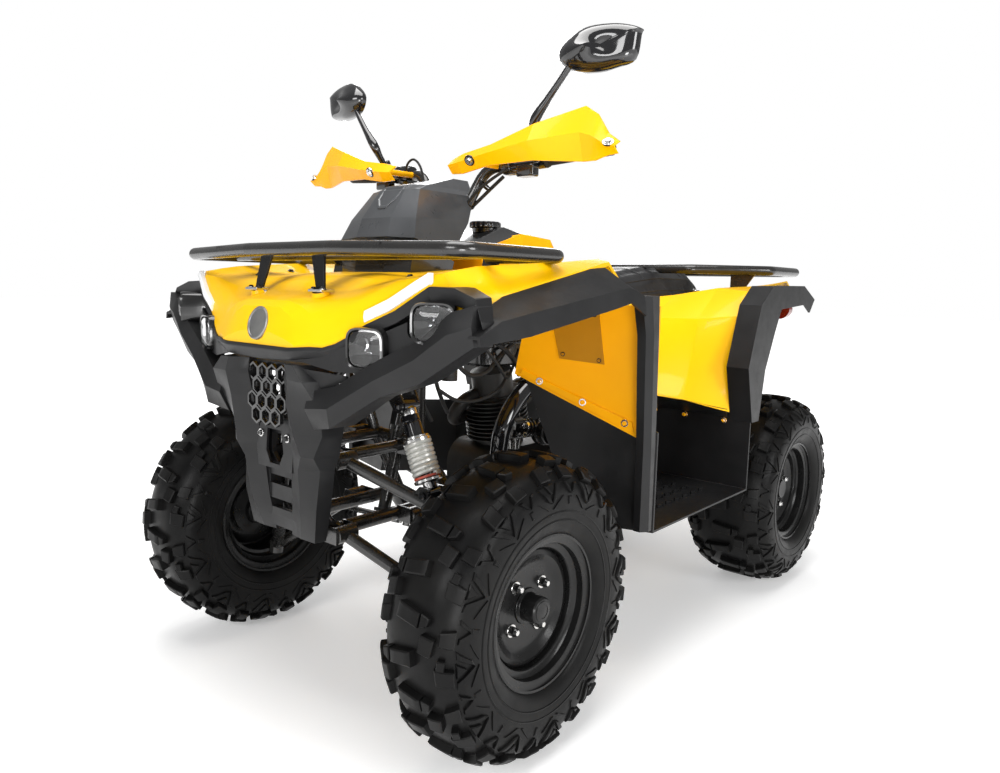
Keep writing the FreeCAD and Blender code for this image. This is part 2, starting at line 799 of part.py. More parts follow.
case_low = s.belly_z + s.frame_tube_radius + s.seat_gap
case_centre = Vector(0, s.case_front_y + s.case_length / 2, case_low + s.case_height / 2)
barrel_lean = Vector(0, -math.sin(math.radians(s.barrel_angle)), math.cos(math.radians(s.barrel_angle)))
barrel_foot = case_centre + Vector(0, -s.case_length * 0.18, s.case_height * 0.4)
barrel_top = barrel_foot + barrel_lean * s.barrel_length


def engine_shape():
    case = centred_box(case_centre, s.case_half_width * 2, s.case_length, s.case_height)
    rounded = [edge for edge in case.Edges if abs(edge.tangentAt(0).x) > 0.9]
    case = case.makeFillet(s.case_height * 0.3, rounded)
    parts = [rod(barrel_foot, barrel_top, s.barrel_radius)]
    fins = int(s.barrel_length * 0.75 // s.fin_pitch)
    for number in range(fins):
        start = barrel_foot + barrel_lean * (s.barrel_length * 0.3 + number * s.fin_pitch)
        parts.append(rod(start, start + barrel_lean * s.fin_thickness, s.fin_radius))
    head_end = barrel_top + barrel_lean * s.barrel_radius
    parts.append(rod(barrel_top, head_end, s.barrel_radius * 0.85))
    cover = case_centre + Vector(s.case_half_width, s.case_length * 0.18, 0)
    parts.append(rod(cover, cover + side_x * s.cover_depth, s.case_height * 0.4))
    cover_right = cover - side_x * (s.case_half_width * 2)
    parts.append(rod(cover_right, cover_right - side_x * s.cover_depth * 0.6, s.case_height * 0.36))
    carb = barrel_top + Vector(0, s.fin_radius * 1.15, -s.fin_radius * 0.1)
    parts.append(rod(barrel_top, carb, s.carb_radius * 0.8))
    parts.append(rod(carb - side_x * s.carb_radius * 1.4, carb + side_x * s.carb_radius * 1.4, s.carb_radius))
    sprocket = Vector(0, s.swing_pivot_y - s.drive_sprocket_radius * 3, s.swing_pivot_z)
    output = sprocket + side_x * (s.sprocket_x + s.sprocket_thickness / 2)
    parts.append(rod(sprocket - side_x * s.drive_sprocket_radius, output, s.drive_sprocket_radius))
    reach = sprocket.y - case_centre.y
    parts.append(centred_box(sprocket - Vector(0, reach / 2, 0), s.drive_sprocket_radius * 2, reach,
                             s.drive_sprocket_radius * 2))
    return case.fuse(parts)


engine = engine_shape()
feature("engine", engine)

# Frame: two bent side tubes, an upper loop, cross tubes, arm pivot tabs, column bearings
# and the footrest hoops.

nose_y = s.pivot_front_y - s.nose_overhang
sweep_start = s.pivot_back_y + s.arm_bush_length * 0.8
low_sweep_start = s.pivot_back_y + s.arm_bush_length * 2
belly_front_y = s.case_front_y - s.case_height * 0.4
belly_back_y = s.case_front_y + s.case_length * 1.2


def column_point(height):
    return column_foot + column_axis * ((height - column_foot.z) / column_axis.z)


def pivot_tabs():
    tabs = []
    for pivot_z in (s.lower_pivot_z, s.upper_pivot_z):
        for pivot_y in (s.pivot_front_y, s.pivot_back_y):
            for sign in (-1, 1):
                near = pivot_y + sign * (s.arm_bush_length / 2 + s.seat_gap)
                width = s.arm_pivot_x + s.tab_reach - s.nose_half_width
                middle = Vector(s.nose_half_width + width / 2, near + sign * mount_plate / 2, pivot_z)
                tabs.append(centred_box(middle, width, mount_plate, s.arm_bush_radius * 2))
    return tabs


def frame_side():
    """The tubes of the left side."""
    nose = s.nose_half_width
    wide = s.frame_half_width
    low = s.lower_pivot_z
    high = s.upper_pivot_z
    rail = [Vector(wide, s.rail_back_y, s.upper_rail_z), Vector(wide, s.front_axle_y, s.upper_rail_z),
            Vector(nose, nose_y + s.nose_overhang, s.nose_top_z), Vector(nose, nose_y, high),
            Vector(nose, nose_y, low), Vector(nose, low_sweep_start, low),
            Vector(wide, belly_front_y, s.belly_z), Vector(wide, belly_back_y, s.belly_z),
            Vector(wide, s.swing_pivot_y + s.carrier_radius * 1.6, s.swing_pivot_z + s.carrier_radius * 2),
            Vector(wide * 0.97, s.rail_back_y - s.carrier_radius * 3, s.upper_rail_z)]
    middle_rail = [Vector(nose, nose_y, high), Vector(nose, sweep_start + s.frame_tube_radius, high)]
    down_tube = [Vector(wide * 0.97, s.front_axle_y + s.carrier_radius, s.upper_rail_z),
                 Vector(nose * 1.05, sweep_start, high), Vector(wide * 0.97, belly_front_y, s.belly_z)]
    hoop_z = s.floor_z - s.panel_wall - s.footrest_tube_radius - s.seat_gap
    reach = s.footrest_half_length
    hoop = [Vector(wide, -reach, s.belly_z), Vector(s.footrest_x, -reach, hoop_z),
            Vector(s.footrest_x, reach, hoop_z), Vector(wide, reach, s.belly_z)]
    tubes = [tube(rail, s.frame_tube_radius, s.tube_bend), tube(down_tube, s.cross_tube_radius, s.tube_bend),
             rod(middle_rail[0], middle_rail[1], s.cross_tube_radius)]
    tubes.append(tube(hoop, s.footrest_tube_radius, s.tube_bend))
    return tubes + pivot_tabs()


def cross_tube(depth, height, half_width):
    return rod(Vector(-half_width, depth, height), Vector(half_width, depth, height), s.cross_tube_radius)


def head_lugs():
    """The plates that carry a front shock's upper eye."""
    start = Vector(s.nose_half_width, nose_y + s.nose_overhang, s.nose_top_z)
    run = Vector(s.frame_half_width, s.front_axle_y, s.upper_rail_z) - start
    lugs = []
    for sign in (-1, 1):
        eye = shock_head + Vector(0, sign * (s.shock_eye_length / 2 + s.seat_gap), 0)
        root = start + run * ((eye.y - start.y) / run.y)
        across = Vector(s.shock_eye_radius, 0, s.shock_eye_radius * 0.6)
        outline = [eye - across, eye + across, root + across, root - across]
        outline = [Vector(point.x, eye.y, point.z) for point in outline]
        lugs.append(prism(outline, Vector(0, sign * mount_plate, 0)))
    return lugs


def frame_shape():
    left = frame_side() + head_lugs()
    right = [mirrored(shape) for shape in left]
    nose = s.nose_half_width
    wide = s.frame_half_width
    crosses = [cross_tube(nose_y, s.lower_pivot_z, nose), cross_tube(nose_y, s.upper_pivot_z, nose),
               cross_tube(nose_y + s.nose_overhang, s.nose_top_z, nose),
               cross_tube(s.case_front_y + s.case_length * 0.12, s.belly_z, wide),
               cross_tube(s.case_front_y + s.case_length * 0.88, s.belly_z, wide),
               cross_tube(rear_shock_head.y, s.upper_rail_z, wide),
               cross_tube(s.rail_back_y, s.upper_rail_z, wide)]
    bearings = []
    for height, half_width in ((s.upper_pivot_z, nose), (s.upper_rail_z, wide)):
        middle = column_point(height)
        crosses.append(cross_tube(middle.y, height, half_width))
        half = column_axis * s.bearing_half_width
        bearings.append(rod(middle - half, middle + half, s.bearing_half_width))
    lugs = []
    for sign in (-1, 1):
        lug_x = s.shock_eye_length / 2 + s.seat_gap
        outline = [rear_shock_head + Vector(sign * lug_x, -s.shock_eye_radius, -s.shock_eye_radius),
                   rear_shock_head + Vector(sign * lug_x, s.shock_eye_radius, -s.shock_eye_radius),
                   Vector(sign * lug_x, rear_shock_head.y + s.shock_eye_radius, s.upper_rail_z),
                   Vector(sign * lug_x, rear_shock_head.y - s.shock_eye_radius, s.upper_rail_z)]
        lugs.append(prism(outline, side_x * (sign * mount_plate)))
        swing = swing_pivot + side_x * (sign * (s.carrier_half_length * 1.5 + s.seat_gap))
        lugs.append(rod(swing, Vector(sign * wide, swing.y, swing.z), s.swing_tube_radius))
        shelf = Vector(sign * wide, swing.y, swing.z)
        lugs.append(centred_box(shelf, mount_plate * 2, s.carrier_radius * 2.6, s.carrier_radius * 2.6))
    frame = left[0].fuse(left[1:] + right + crosses + bearings + lugs)
    bore = rod(column_foot, column_head, s.column_radius + s.bearing_gap)
    return frame.cut([bore, shock, mirrored(shock)])


frame = frame_shape()
feature("frame", frame)


def belly_plate_shape():
    top = s.belly_z - s.frame_tube_radius - s.seat_gap
    length = belly_back_y - belly_front_y
    plate = Part.makeBox(2 * s.frame_half_width, length, s.belly_plate_thickness,
                         Vector(-s.frame_half_width, belly_front_y, top - s.belly_plate_thickness))
    return plate


feature("belly_plate", belly_plate_shape())

# Body panels. Points are shares of each panel's own half width, length and height,
# measured from its front edge, the middle plane and its lowest line.


# Hood: share of the length, then the upper edge as (across, up) shares from the middle outwards,
# then the thickness under each point as shares of the height.
full_wall = (0.04,) * 7
hood_shares = [
    (0.000, [(0, .15), (.09, .15), (.124, .13), (.16, .11), (.19, .09), (.216, .07), (.236, .05)],
     (.14, .14, .12, .10, .08, .06, .04)),
    (0.020, [(0, .38), (.12, .38), (.18, .31), (.22, .225), (.25, .16), (.27, .11), (.29, .08)],
     (.36, .36, .29, .20, .13, .08, .05)),
    (0.043, [(0, .44), (.132, .44), (.21, .40), (.27, .33), (.31, .25), (.35, .16), (.376, .08)],
     (.38, .38, .34, .26, .17, .09, .05)),
    (0.083, [(0, .48), (.144, .48), (.23, .45), (.32, .43), (.40, .39), (.46, .33), (.494, .25)],
     (.2, .2, .16, .12, .1, .08, .05)),
    (0.120, [(0, .51), (.152, .51), (.25, .49), (.38, .50), (.50, .53), (.58, .49), (.624, .445)], full_wall),
    (0.150, [(0, .54), (.16, .54), (.26, .52), (.40, .56), (.58, .64), (.68, .67), (.738, .615)], full_wall),
    (0.183, [(0, .60), (.165, .60), (.265, .56), (.41, .60), (.60, .68), (.76, .71), (.930, .24)], full_wall),
    (0.253, [(0, .68), (.17, .68), (.27, .66), (.42, .65), (.61, .71), (.76, .75), (.900, .375)], full_wall),
    (0.320, [(0, .71), (.175, .71), (.28, .69), (.43, .68), (.62, .72), (.76, .78), (.880, .53)], full_wall),
    (0.503, [(0, .74), (.20, .74), (.29, .72), (.44, .70), (.64, .72), (.77, .82), (.880, .66)], full_wall),
    (0.703, [(0, .78), (.21, .78), (.30, .73), (.44, .70), (.64, .72), (.79, .86), (.880, .78)], full_wall),
    (0.870, [(0, .72), (.22, .72), (.30, .70), (.46, .66), (.66, .70), (.82, .91), (.872, .88)], full_wall),
    (0.987, [(0, .88), (.22, .88), (.30, .70), (.44, .52), (.64, .52), (.80, .70), (.850, .675)], full_wall),
]


def hood_stations():
    stations = []
    for back, edge, depths in hood_shares:
        edge = [(across * s.hood_half_width, s.hood_lip_z + up * s.hood_height) for across, up in edge]
        under = [(u, v - share * s.hood_height) for (u, v), share in zip(edge, depths)]
        outline = mirrored_edge(edge) + mirrored_edge(under)[::-1]
        stations.append((-(s.hood_front_y + back * s.hood_length), outline))
    return stations


hood_form = lofted_body("hood_form", "XZ_Plane", hood_stations())
column_room = doc.addObject("Part::Cylinder", "column_room")
column_room.Height = s.column_length * 2
column_room.setExpression("Radius", "Sizes.column_radius * 2")
column_room.Placement = Placement(column_foot, Rotation(Vector(0, 0, 1), column_axis))
hood = doc.addObject("Part::Cut", "hood")
hood.Base = hood_form
hood.Tool = column_room
keep("hood", hood)
doc.recompute()

# Bumper: two ridged pillars round a set-back panel, a crown over the grille, a horn and an arm to each side.
# Pillar: share of the height, then (across, back) shares of a closed section.
pillar_shares = [
    (0.00, [(.18, .55), (.42, .50), (.70, .52), (.72, .76), (.18, .76)]),
    (0.20, [(.26, .48), (.56, .34), (.80, .45), (.82, .77), (.26, .77)]),
    (0.42, [(.30, .42), (.60, .26), (.84, .50), (.90, .77), (.30, .77)]),
    (0.50, [(.32, .40), (.72, .20), (.88, .31), (1.0, .77), (.32, .77)]),
    (0.62, [(.34, .34), (.66, .10), (.98, .40), (1.06, .77), (.34, .77)]),
    (0.78, [(.38, .26), (.62, .00), (1.12, .18), (1.20, .72), (.38, .72)]),
    (0.92, [(.40, .18), (.70, -.04), (1.00, -.05), (1.10, .60), (.40, .60)]),
    (1.00, [(.42, .24), (.62, -.03), (.80, -.04), (.96, .44), (.42, .50)]),
]
# Arm: (across, back, up) shares of five edges, from the pillar outwards: low, ridge, top, back top, back low.
arm_shares = [
    [(.295, .20, .04), (.295, .03, .22), (.295, .11, .36), (.295, .50, .36), (.295, .50, .04)],
    [(.420, .10, .09), (.420, .05, .25), (.420, .20, .42), (.420, .56, .42), (.420, .56, .09)],
    [(.610, .38, .37), (.610, .24, .50), (.610, .36, .66), (.610, .68, .66), (.610, .70, .37)],
    [(.775, .50, .50), (.775, .38, .68), (.775, .50, .83), (.775, .84, .83), (.775, .86, .50)],
    [(.900, .60, .68), (.900, .50, .88), (.900, .58, 1.04), (.900, .96, 1.04), (.900, .98, .68)],
    [(.985, .66, .80), (.985, .60, .94), (.985, .64, 1.09), (.985, 1.02, 1.09), (.985, 1.04, .80)],
]
# Horn: the crown's point over the arm's root, as a triangle that runs out to a tip.
horn_shares = [
    [(.26, .06, .54), (.26, .12, .26), (.26, .42, .50)],
    [(.43, .38, .50), (.43, .40, .47), (.43, .43, .49)],
]


def on_arm(across, back, up):
    """A point of the bumper's arm from its shares."""
    return Vector(across * s.bumper_arm_x, s.bumper_front_y + back * s.bumper_arm_depth,
                  s.grille_low_z + up * s.bumper_arm_height)


def hook_hole():
    """The opening for the tow hook, with its lower corners cut off."""
    half = s.hook_hole_width / 2
    rise = s.hook_hole_height / 2
    corner = s.hook_hole_width * 0.3
    outline = [(-half, rise), (half, rise), (half, -rise + corner), (half - corner, -rise),
               (corner - half, -rise), (-half, -rise + corner)]
    front = s.bumper_panel_y - s.bumper_wall
    return prism([Vector(x, front, s.hook_hole_z + z) for x, z in outline], Vector(0, s.bumper_wall * 3, 0))


def bumper_shape():
    pillar = []
    for up, section in pillar_shares:
        height = s.bumper_low_z + up * s.bumper_height
        pillar.append([Vector(across * s.bumper_half_width, s.bumper_front_y + back * s.bumper_depth, height)
                       for across, back in section])
    arm = [[on_arm(*share) for share in section] for section in arm_shares]
    horn = [[on_arm(*share) for share in section] for section in horn_shares]
    half = loft(pillar).fuse([loft(arm), loft(horn)])
    inner = s.bumper_half_width * 0.5
    panel = Part.makeBox(2 * inner, s.bumper_wall, s.grille_low_z - s.bumper_low_z - s.bumper_wall,
                         Vector(-inner, s.bumper_panel_y, s.bumper_low_z + s.bumper_wall))
    bar_low = s.grille_low_z + s.grille_height
    bar = Part.makeBox(2 * inner, s.bumper_wall * 3, s.bumper_low_z + s.bumper_height * 0.99 - bar_low,
                       Vector(-inner, s.bumper_panel_y - s.bumper_wall * 2, bar_low))
    hole = hook_hole()
    slots = []
    for share in (0.16, 0.30):
        slot = Vector(0, s.bumper_panel_y, s.bumper_low_z + share * s.bumper_height)
        slots.append(centred_box(slot, s.hook_hole_width * 1.3, s.bumper_wall * 4, s.bumper_wall * 2))
    pads = []
    for height in (s.lower_pivot_z, s.upper_pivot_z):
        back = nose_y - s.frame_tube_radius - s.seat_gap
        front = s.bumper_panel_y + s.bumper_wall
        pad_x = s.nose_half_width * 0.62
        pads.append(Part.makeBox(s.tab_reach * 2, back - front, s.tab_reach * 2,
                                 Vector(pad_x - s.tab_reach, front, height)))
    panel = panel.cut([hole] + slots)
    whole = half.fuse([mirrored(half), panel, bar] + pads + [mirrored(pad) for pad in pads])
    return largest(whole.cut([hood.Shape, frame]))


bumper = bumper_shape()
feature("front_bumper", bumper)


def hexagon(middle, radius):
    corners = [middle + Vector(radius * math.cos(math.radians(60 * turn)), 0,
                               radius * math.sin(math.radians(60 * turn))) for turn in range(6)]
    return corners


def grille_shape():
    """A flat mesh of hexagonal holes inside a rim, seated behind the bumper's opening."""
    half = s.grille_half_width
    front = s.bumper_panel_y + s.bumper_wall
    plate = Part.makeBox(2 * half, s.grille_thickness, s.grille_height,
                         Vector(-half, front, s.grille_low_z - s.bumper_wall))
    pitch_x = s.hexagon_radius * 1.5 + s.hexagon_web * 0.87
    pitch_z = s.hexagon_radius * math.sqrt(3) + s.hexagon_web
    inside_x = half - s.hexagon_radius - s.hexagon_web
    inside_z = s.grille_height / 2 - s.hexagon_radius - s.hexagon_web / 2
    middle_z = s.grille_low_z - s.bumper_wall + s.grille_height / 2
    holes = []
    columns = int(inside_x // pitch_x)
    rows = int(inside_z // (pitch_z / 2))
    for column in range(-columns, columns + 1):
        for level in range(-rows, rows + 1):
            if (column + level) % 2:
                continue
            middle = Vector(column * pitch_x, front - s.grille_thickness, middle_z + level * pitch_z / 2)
            holes.append(prism(hexagon(middle, s.hexagon_radius), Vector(0, s.grille_thickness * 3, 0)))
    return plate.cut(holes)


feature("grille", grille_shape().cut(bumper))

# Lamps: two rounded boxes each side, turned outwards, and the light strip along the hood's edge.


def lamp_body(x, y, z, grow):
    width = s.lamp_width + grow
    height = s.lamp_height + grow
    box = Part.makeBox(width, s.lamp_depth, height, Vector(-width / 2, 0, -height / 2))
    corners = [edge for edge in box.Edges if abs(edge.tangentAt(0).y) > 0.9]
    box = box.makeFillet(s.lamp_corner, corners)
    box.Placement = Placement(Vector(x, y, z), Rotation(Vector(0, 0, 1), s.lamp_turn))
    return box


inner_lamp = (s.inner_lamp_x, s.inner_lamp_y, s.inner_lamp_z)
outer_lamp = (s.outer_lamp_x, s.outer_lamp_y, s.outer_lamp_z)

# Fascia: out share of the bumper arm's reach, then (back, low, high) of the wall behind the lamps.
fascia_shares = [
    (0.00, .04, -.11, -.01), (0.26, .12, -.10, .01), (0.40, .28, -.16, .03),
    (0.53, .52, -.16, .14), (0.80, .90, .06, .42),
]


def fascia_shape():
    sections = []
    for out, back, low, high in fascia_shares:
        x = out * s.bumper_arm_x
        y = s.hood_front_y + back * s.bumper_depth
        low_z = s.hood_lip_z + low * s.hood_height
        high_z = s.hood_lip_z + high * s.hood_height
        wall = s.bumper_wall
        sections.append([Vector(x, y, high_z), Vector(x, y + wall, high_z),
                         Vector(x, y + wall, low_z), Vector(x, y, low_z)])
    half = loft(sections)
    fascia = half.fuse(mirrored(half))
    rooms = [lamp_body(*where, 2 * s.seat_gap) for where in (inner_lamp, outer_lamp)]
    return fascia.cut(rooms + [mirrored(room) for room in rooms] + [bumper])


fascia = fascia_shape()


def strip_shape():
    """The light strip, from the inner lamp up to the end of the hood's edge."""
    inner = Vector(s.inner_lamp_x * 0.97, s.inner_lamp_y, s.inner_lamp_z + s.lamp_height * 0.62)
    outer = Vector(s.outer_lamp_x, s.outer_lamp_y + s.lamp_height * 0.2,
                   s.outer_lamp_z + s.lamp_height * 1.02)
    up = Vector(0, 0, s.strip_height)
    outline = [inner, outer, outer + up, inner + up]
    normal = (outer - inner).cross(up).normalize() * -s.strip_depth
    return prism(outline, normal)


lamps = [largest(lamp_body(*where, 0).cut([hood.Shape, bumper])) for where in (inner_lamp, outer_lamp)]
lamps.append(largest(strip_shape().cut([fascia, hood.Shape, bumper])))
feature("front_fascia", fascia.cut([strip_shape(), mirrored(strip_shape())]))
feature("headlamps", Part.makeCompound(lamps + [mirrored(lamp) for lamp in lamps]))

# Front flares: a sloping top and a hanging edge along the fender, then an upright behind the wheel.
# Share of the length, then (across, up) of the inner edge, the crease and the hanging edge.
flare_shares = [
    (0.00, (.925, .28), (.985, .275), (.99, .20)),
    (0.10, (.895, .45), (.988, .39), (.99, .225)),
    (0.24, (.870, .58), (.990, .45), (.995, .26)),
    (0.76, (.870, .85), (.992, .645), (.997, .48)),
    (0.86, (.870, .87), (.992, .68), (1.0, .53)),
    (0.98, (.880, .70), (.985, .60), (.997, .40)),
]
# Upright: up share, then (across, back) of a closed section, back shares of the flare's length.
upright_shares = [
    (0.600, [(.925, .99), (.985, .96), (.997, 1.02), (.985, 1.10), (.925, 1.08)]),
    (0.200, [(.935, 1.02), (.975, 1.02), (.99, 1.06), (.98, 1.12), (.935, 1.10)]),
    (-0.95, [(.935, 1.05), (.97, 1.05), (.99, 1.08), (.985, 1.125), (.935, 1.12)]),
    (-1.90, [(.935, 1.06), (.965, 1.06), (.99, 1.09), (.985, 1.125), (.935, 1.125)]),
]


def flare_shape():
    wide = s.flare_half_width
    wall = s.panel_wall
    top = []
    for back, inner, crease, edge in flare_shares:
        y = s.flare_front_y + back * s.flare_length
        spots = [Vector(across * wide, y, s.flare_low_z + up * s.flare_height)
                 for across, up in (inner, crease, edge)]
        step = Vector(-wall, 0, -wall)
        section = spots + [spots[2] - Vector(wall, 0, 0), spots[1] + step, spots[0] - Vector(0, 0, wall)]
        top.append(section)
    upright = []
    for up, section in upright_shares:
        z = s.flare_low_z + up * s.flare_height
        upright.append([Vector(across * wide, s.flare_front_y + back * s.flare_length, z)
                        for across, back in section])
    return loft(top).fuse(loft(upright))


flare = flare_shape().cut([hood.Shape, bumper])
feature("front_flares", both_sides(flare))

# Arch panels: the upright yellow walls behind the front wheels.
arch_panel_shares = [(0, 0, .42), (.05, -.05, .72), (.25, -.05, .98), (1, 1, .98), (1, 1, 0),
                     (.95, .95, -.02)]


def arch_panel_shape():
    spots = []
    for across, back, up in arch_panel_shares:
        x = s.arch_panel_inner_x + across * s.arch_panel_width
        y = s.arch_panel_front_y + across * s.arch_panel_depth
        spots.append(Vector(x, y, s.arch_panel_low_z + up * s.arch_panel_height))
    return prism(spots, Vector(0, s.panel_wall, 0))


arch_panel = arch_panel_shape().cut([flare, hood.Shape])
feature("arch_panels", both_sides(arch_panel))

# Footwells: a tray with a floor, an inner wall, a front wall under the arch panel and a heel guard.


def behind_arch(x, up):
    """A point just behind the plane of the arch panel."""
    slope = s.arch_panel_depth / s.arch_panel_width
    y = s.arch_panel_front_y + (x - s.arch_panel_inner_x) * slope + s.panel_wall + s.seat_gap
    return Vector(x, y, up)


def footwell_shape():
    inner = s.footwell_inner_x
    outer = s.footwell_outer_x
    corner = s.footwell_corner_x
    wall = s.panel_wall
    low = s.floor_z - wall
    back = s.footwell_back_y
    high = s.arch_panel_low_z + s.arch_panel_height * 0.54
    middle = s.arch_panel_low_z + s.arch_panel_height * 0.06
    step_y = -s.footrest_half_length
    floor = prism([behind_arch(corner, low), behind_arch(outer, low), Vector(outer, back, low),
                   Vector(inner, back, low), Vector(inner, step_y, low)], Vector(0, 0, wall))
    front = prism([behind_arch(corner, low), behind_arch(outer, low), behind_arch(outer, middle),
                   behind_arch(s.arch_panel_inner_x + wall, high)], Vector(0, wall, 0))
    side = prism([Vector(inner, step_y, low), Vector(inner, back, low), Vector(inner, back, s.heel_top_z),
                  Vector(inner, step_y, s.heel_top_z)], Vector(wall, 0, 0))
    corner_foot = behind_arch(corner, low)
    corner_top = behind_arch(corner, s.heel_top_z)
    inner_foot = Vector(inner, step_y, low)
    inner_top = Vector(inner, step_y, s.heel_top_z)
    slant = prism([corner_foot, inner_foot, inner_top, corner_top], Vector(wall, wall, 0))
    heel = prism([Vector(inner, back, low), Vector(outer, back, low), Vector(outer, back, s.heel_top_z),
                  Vector(inner, back, s.heel_top_z)], Vector(0, wall, 0))
    return floor.fuse([front, side, slant, heel])


footwell = footwell_shape().cut([flare, arch_panel, frame])
feature("footwells", both_sides(footwell))

# Pod round the bar clamp, tank cover, fuel cap and seat.
# Share of the pod's height, then (across, back) of half an outline, from the front to the back.
pod_shares = [
    (-.62, [(.36, .00), (.86, .06), (.80, .52), (.40, .58)]),
    (0.00, [(.40, .015), (.97, .07), (.86, .60), (.42, .66)]),
    (0.32, [(.38, .075), (.84, .14), (.76, .76), (.40, .82)]),
    (0.74, [(.33, .24), (.60, .28), (.60, .90), (.34, .96)]),
    (0.82, [(.29, .30), (.52, .40), (.50, .92), (.30, .98)]),
    (1.00, [(.24, .74), (.36, .76), (.36, .94), (.24, .98)]),
]


def mirrored_section(half):
    """A closed outline from the right half's points, listed from the outer foot to the top."""
    return half + [(-across, up) for across, up in half[::-1]]


def pod_stations():
    stations = []
    for up, half in pod_shares:
        outline = [(across * s.pod_half_width, s.pod_front_y + back * s.pod_length) for across, back in half]
        outline += [(-across, back) for across, back in outline[::-1]]
        stations.append((s.pod_low_z + up * s.pod_height, outline))
    return stations


pod = lofted_body("pod_form", "XY_Plane", pod_stations())
tank_shares = [
    (0.00, [(.70, .25), (.62, .56), (.20, .60)]),
    (0.40, [(.95, .05), (.78, .84), (.40, .96)]),
    (0.80, [(.95, .00), (.74, .80), (.36, .86)]),
    (1.00, [(.80, .00), (.60, .55), (.30, .62)]),
]


def tank_stations():
    stations = []
    for back, half in tank_shares:
        outline = [(across * s.tank_half_width, s.tank_low_z + up * s.tank_height)
                   for across, up in mirrored_section(half)]
        stations.append((-(s.tank_front_y + back * s.tank_length), outline))
    return stations


tank = lofted_body("tank_form", "XZ_Plane", tank_stations())
seat_shares = [
    (0.00, [(.90, .00), (.70, .40), (.20, .48)]),
    (0.20, [(.95, .00), (.80, .45), (.60, .60)]),
    (0.42, [(.98, .00), (.92, .62), (.70, .84)]),
    (0.60, [(1.0, .00), (.95, .76), (.75, .96)]),
    (0.85, [(1.0, .00), (.92, .82), (.70, .97)]),
    (0.95, [(.95, .00), (.80, .66), (.60, .80)]),
]


seat_low = s.upper_rail_z + s.frame_tube_radius + s.seat_gap


def seat_stations():
    stations = []
    for back, half in seat_shares:
        outline = [(across * s.seat_half_width, seat_low + up * s.seat_height)
                   for across, up in mirrored_section(half)]
        stations.append((-(s.seat_front_y + back * s.seat_length), outline))
    return stations


seat = lofted_body("seat", "XZ_Plane", seat_stations())
doc.recompute()


def under_split(drop):
    """The room below the plane that the pod turns on, lowered by a drop."""
    room = Part.makeBox(4 * s.pod_half_width, 4 * s.pod_length, s.pod_drop * 2,
                        Vector(-2 * s.pod_half_width, -2 * s.pod_length, -s.pod_drop * 2))
    foot = Vector(0, s.pod_front_y, s.pod_split_z) - column_axis * drop
    room.Placement = Placement(foot, Rotation(Vector(0, 0, 1), column_axis))
    return room


pod_shape = largest(pod.Shape.cut([column, handlebar, under_split(0)]))
feature("console_pod", pod_shape)
pod_base = pod.Shape.common(under_split(s.pod_split_gap)).cut([hood_form.Shape, column_room.Shape])
pod_base = largest(pod_base)
feature("pod_base", pod_base)
tank_shape = largest(tank.Shape.cut([hood_form.Shape, column_room.Shape, frame, seat.Shape, pod_base]))
feature("tank_cover", tank_shape)
keep("seat", seat)

cap_low = tank_shape.BoundBox.ZMax + s.seat_gap
cap_middle = Vector(0, s.cap_y, cap_low)
cap_low_end = cap_middle - Vector(0, 0, s.cap_height)
cap = rod(cap_low_end, cap_middle + Vector(0, 0, s.cap_height * 0.6), s.cap_radius)
cap = cap.cut(tank_shape)
feature("fuel_cap", cap)

# Rear fender: a deck each side of the seat with a sloping front wall, joined under the seat's tail.
# Share of the half width, then (back, up) of the outer surface from the front foot to the tail.
fender_shares = [
    (0.30, [(.00, .17), (.14, .72), (.30, .81), (.87, .86), (.93, .72)]),
    (0.54, [(.14, .17), (.27, .69), (.42, .86), (.87, .92), (.93, .75)]),
    (0.76, [(.28, .10), (.35, .69), (.48, .92), (.86, .95), (.93, .78)]),
    (0.97, [(.365, .02), (.39, .72), (.45, .90), (.77, .99), (.90, .80)]),
]


def fender_shape():
    sections = []
    for across, edge in fender_shares:
        x = across * s.fender_half_width
        outer = [Vector(x, s.fender_front_y + back * s.fender_length, s.fender_low_z + up * s.fender_height)
                 for back, up in edge]
        wall = s.panel_wall
        steps = [Vector(0, wall, 0), Vector(0, wall, -wall * 0.4), Vector(0, wall * 0.4, -wall),
                 Vector(0, -wall * 0.6, -wall), Vector(0, -wall, 0)]
        inner = [point + step for point, step in zip(outer, steps)]
        sections.append(outer + inner[::-1])
    return loft(sections)


def fender_bridge():
    """The strip of the deck behind the seat that joins the two sides."""
    (_, edge) = fender_shares[0]
    x = fender_shares[0][0] * s.fender_half_width
    top, tip = [Vector(-x, s.fender_front_y + back * s.fender_length, s.fender_low_z + up * s.fender_height)
                for back, up in edge[-2:]]
    wall = Vector(0, 0, -s.panel_wall)
    return prism([top, tip, tip + wall, top + wall], Vector(2 * x, 0, 0))


fender_half = fender_shape()
fender = fender_half.fuse([mirrored(fender_half), fender_bridge()])
fender = fender.cut([seat.Shape, frame, footwell, mirrored(footwell)])
feature("rear_fender", fender)

# Rear flares round the outer edge of the rear fender.


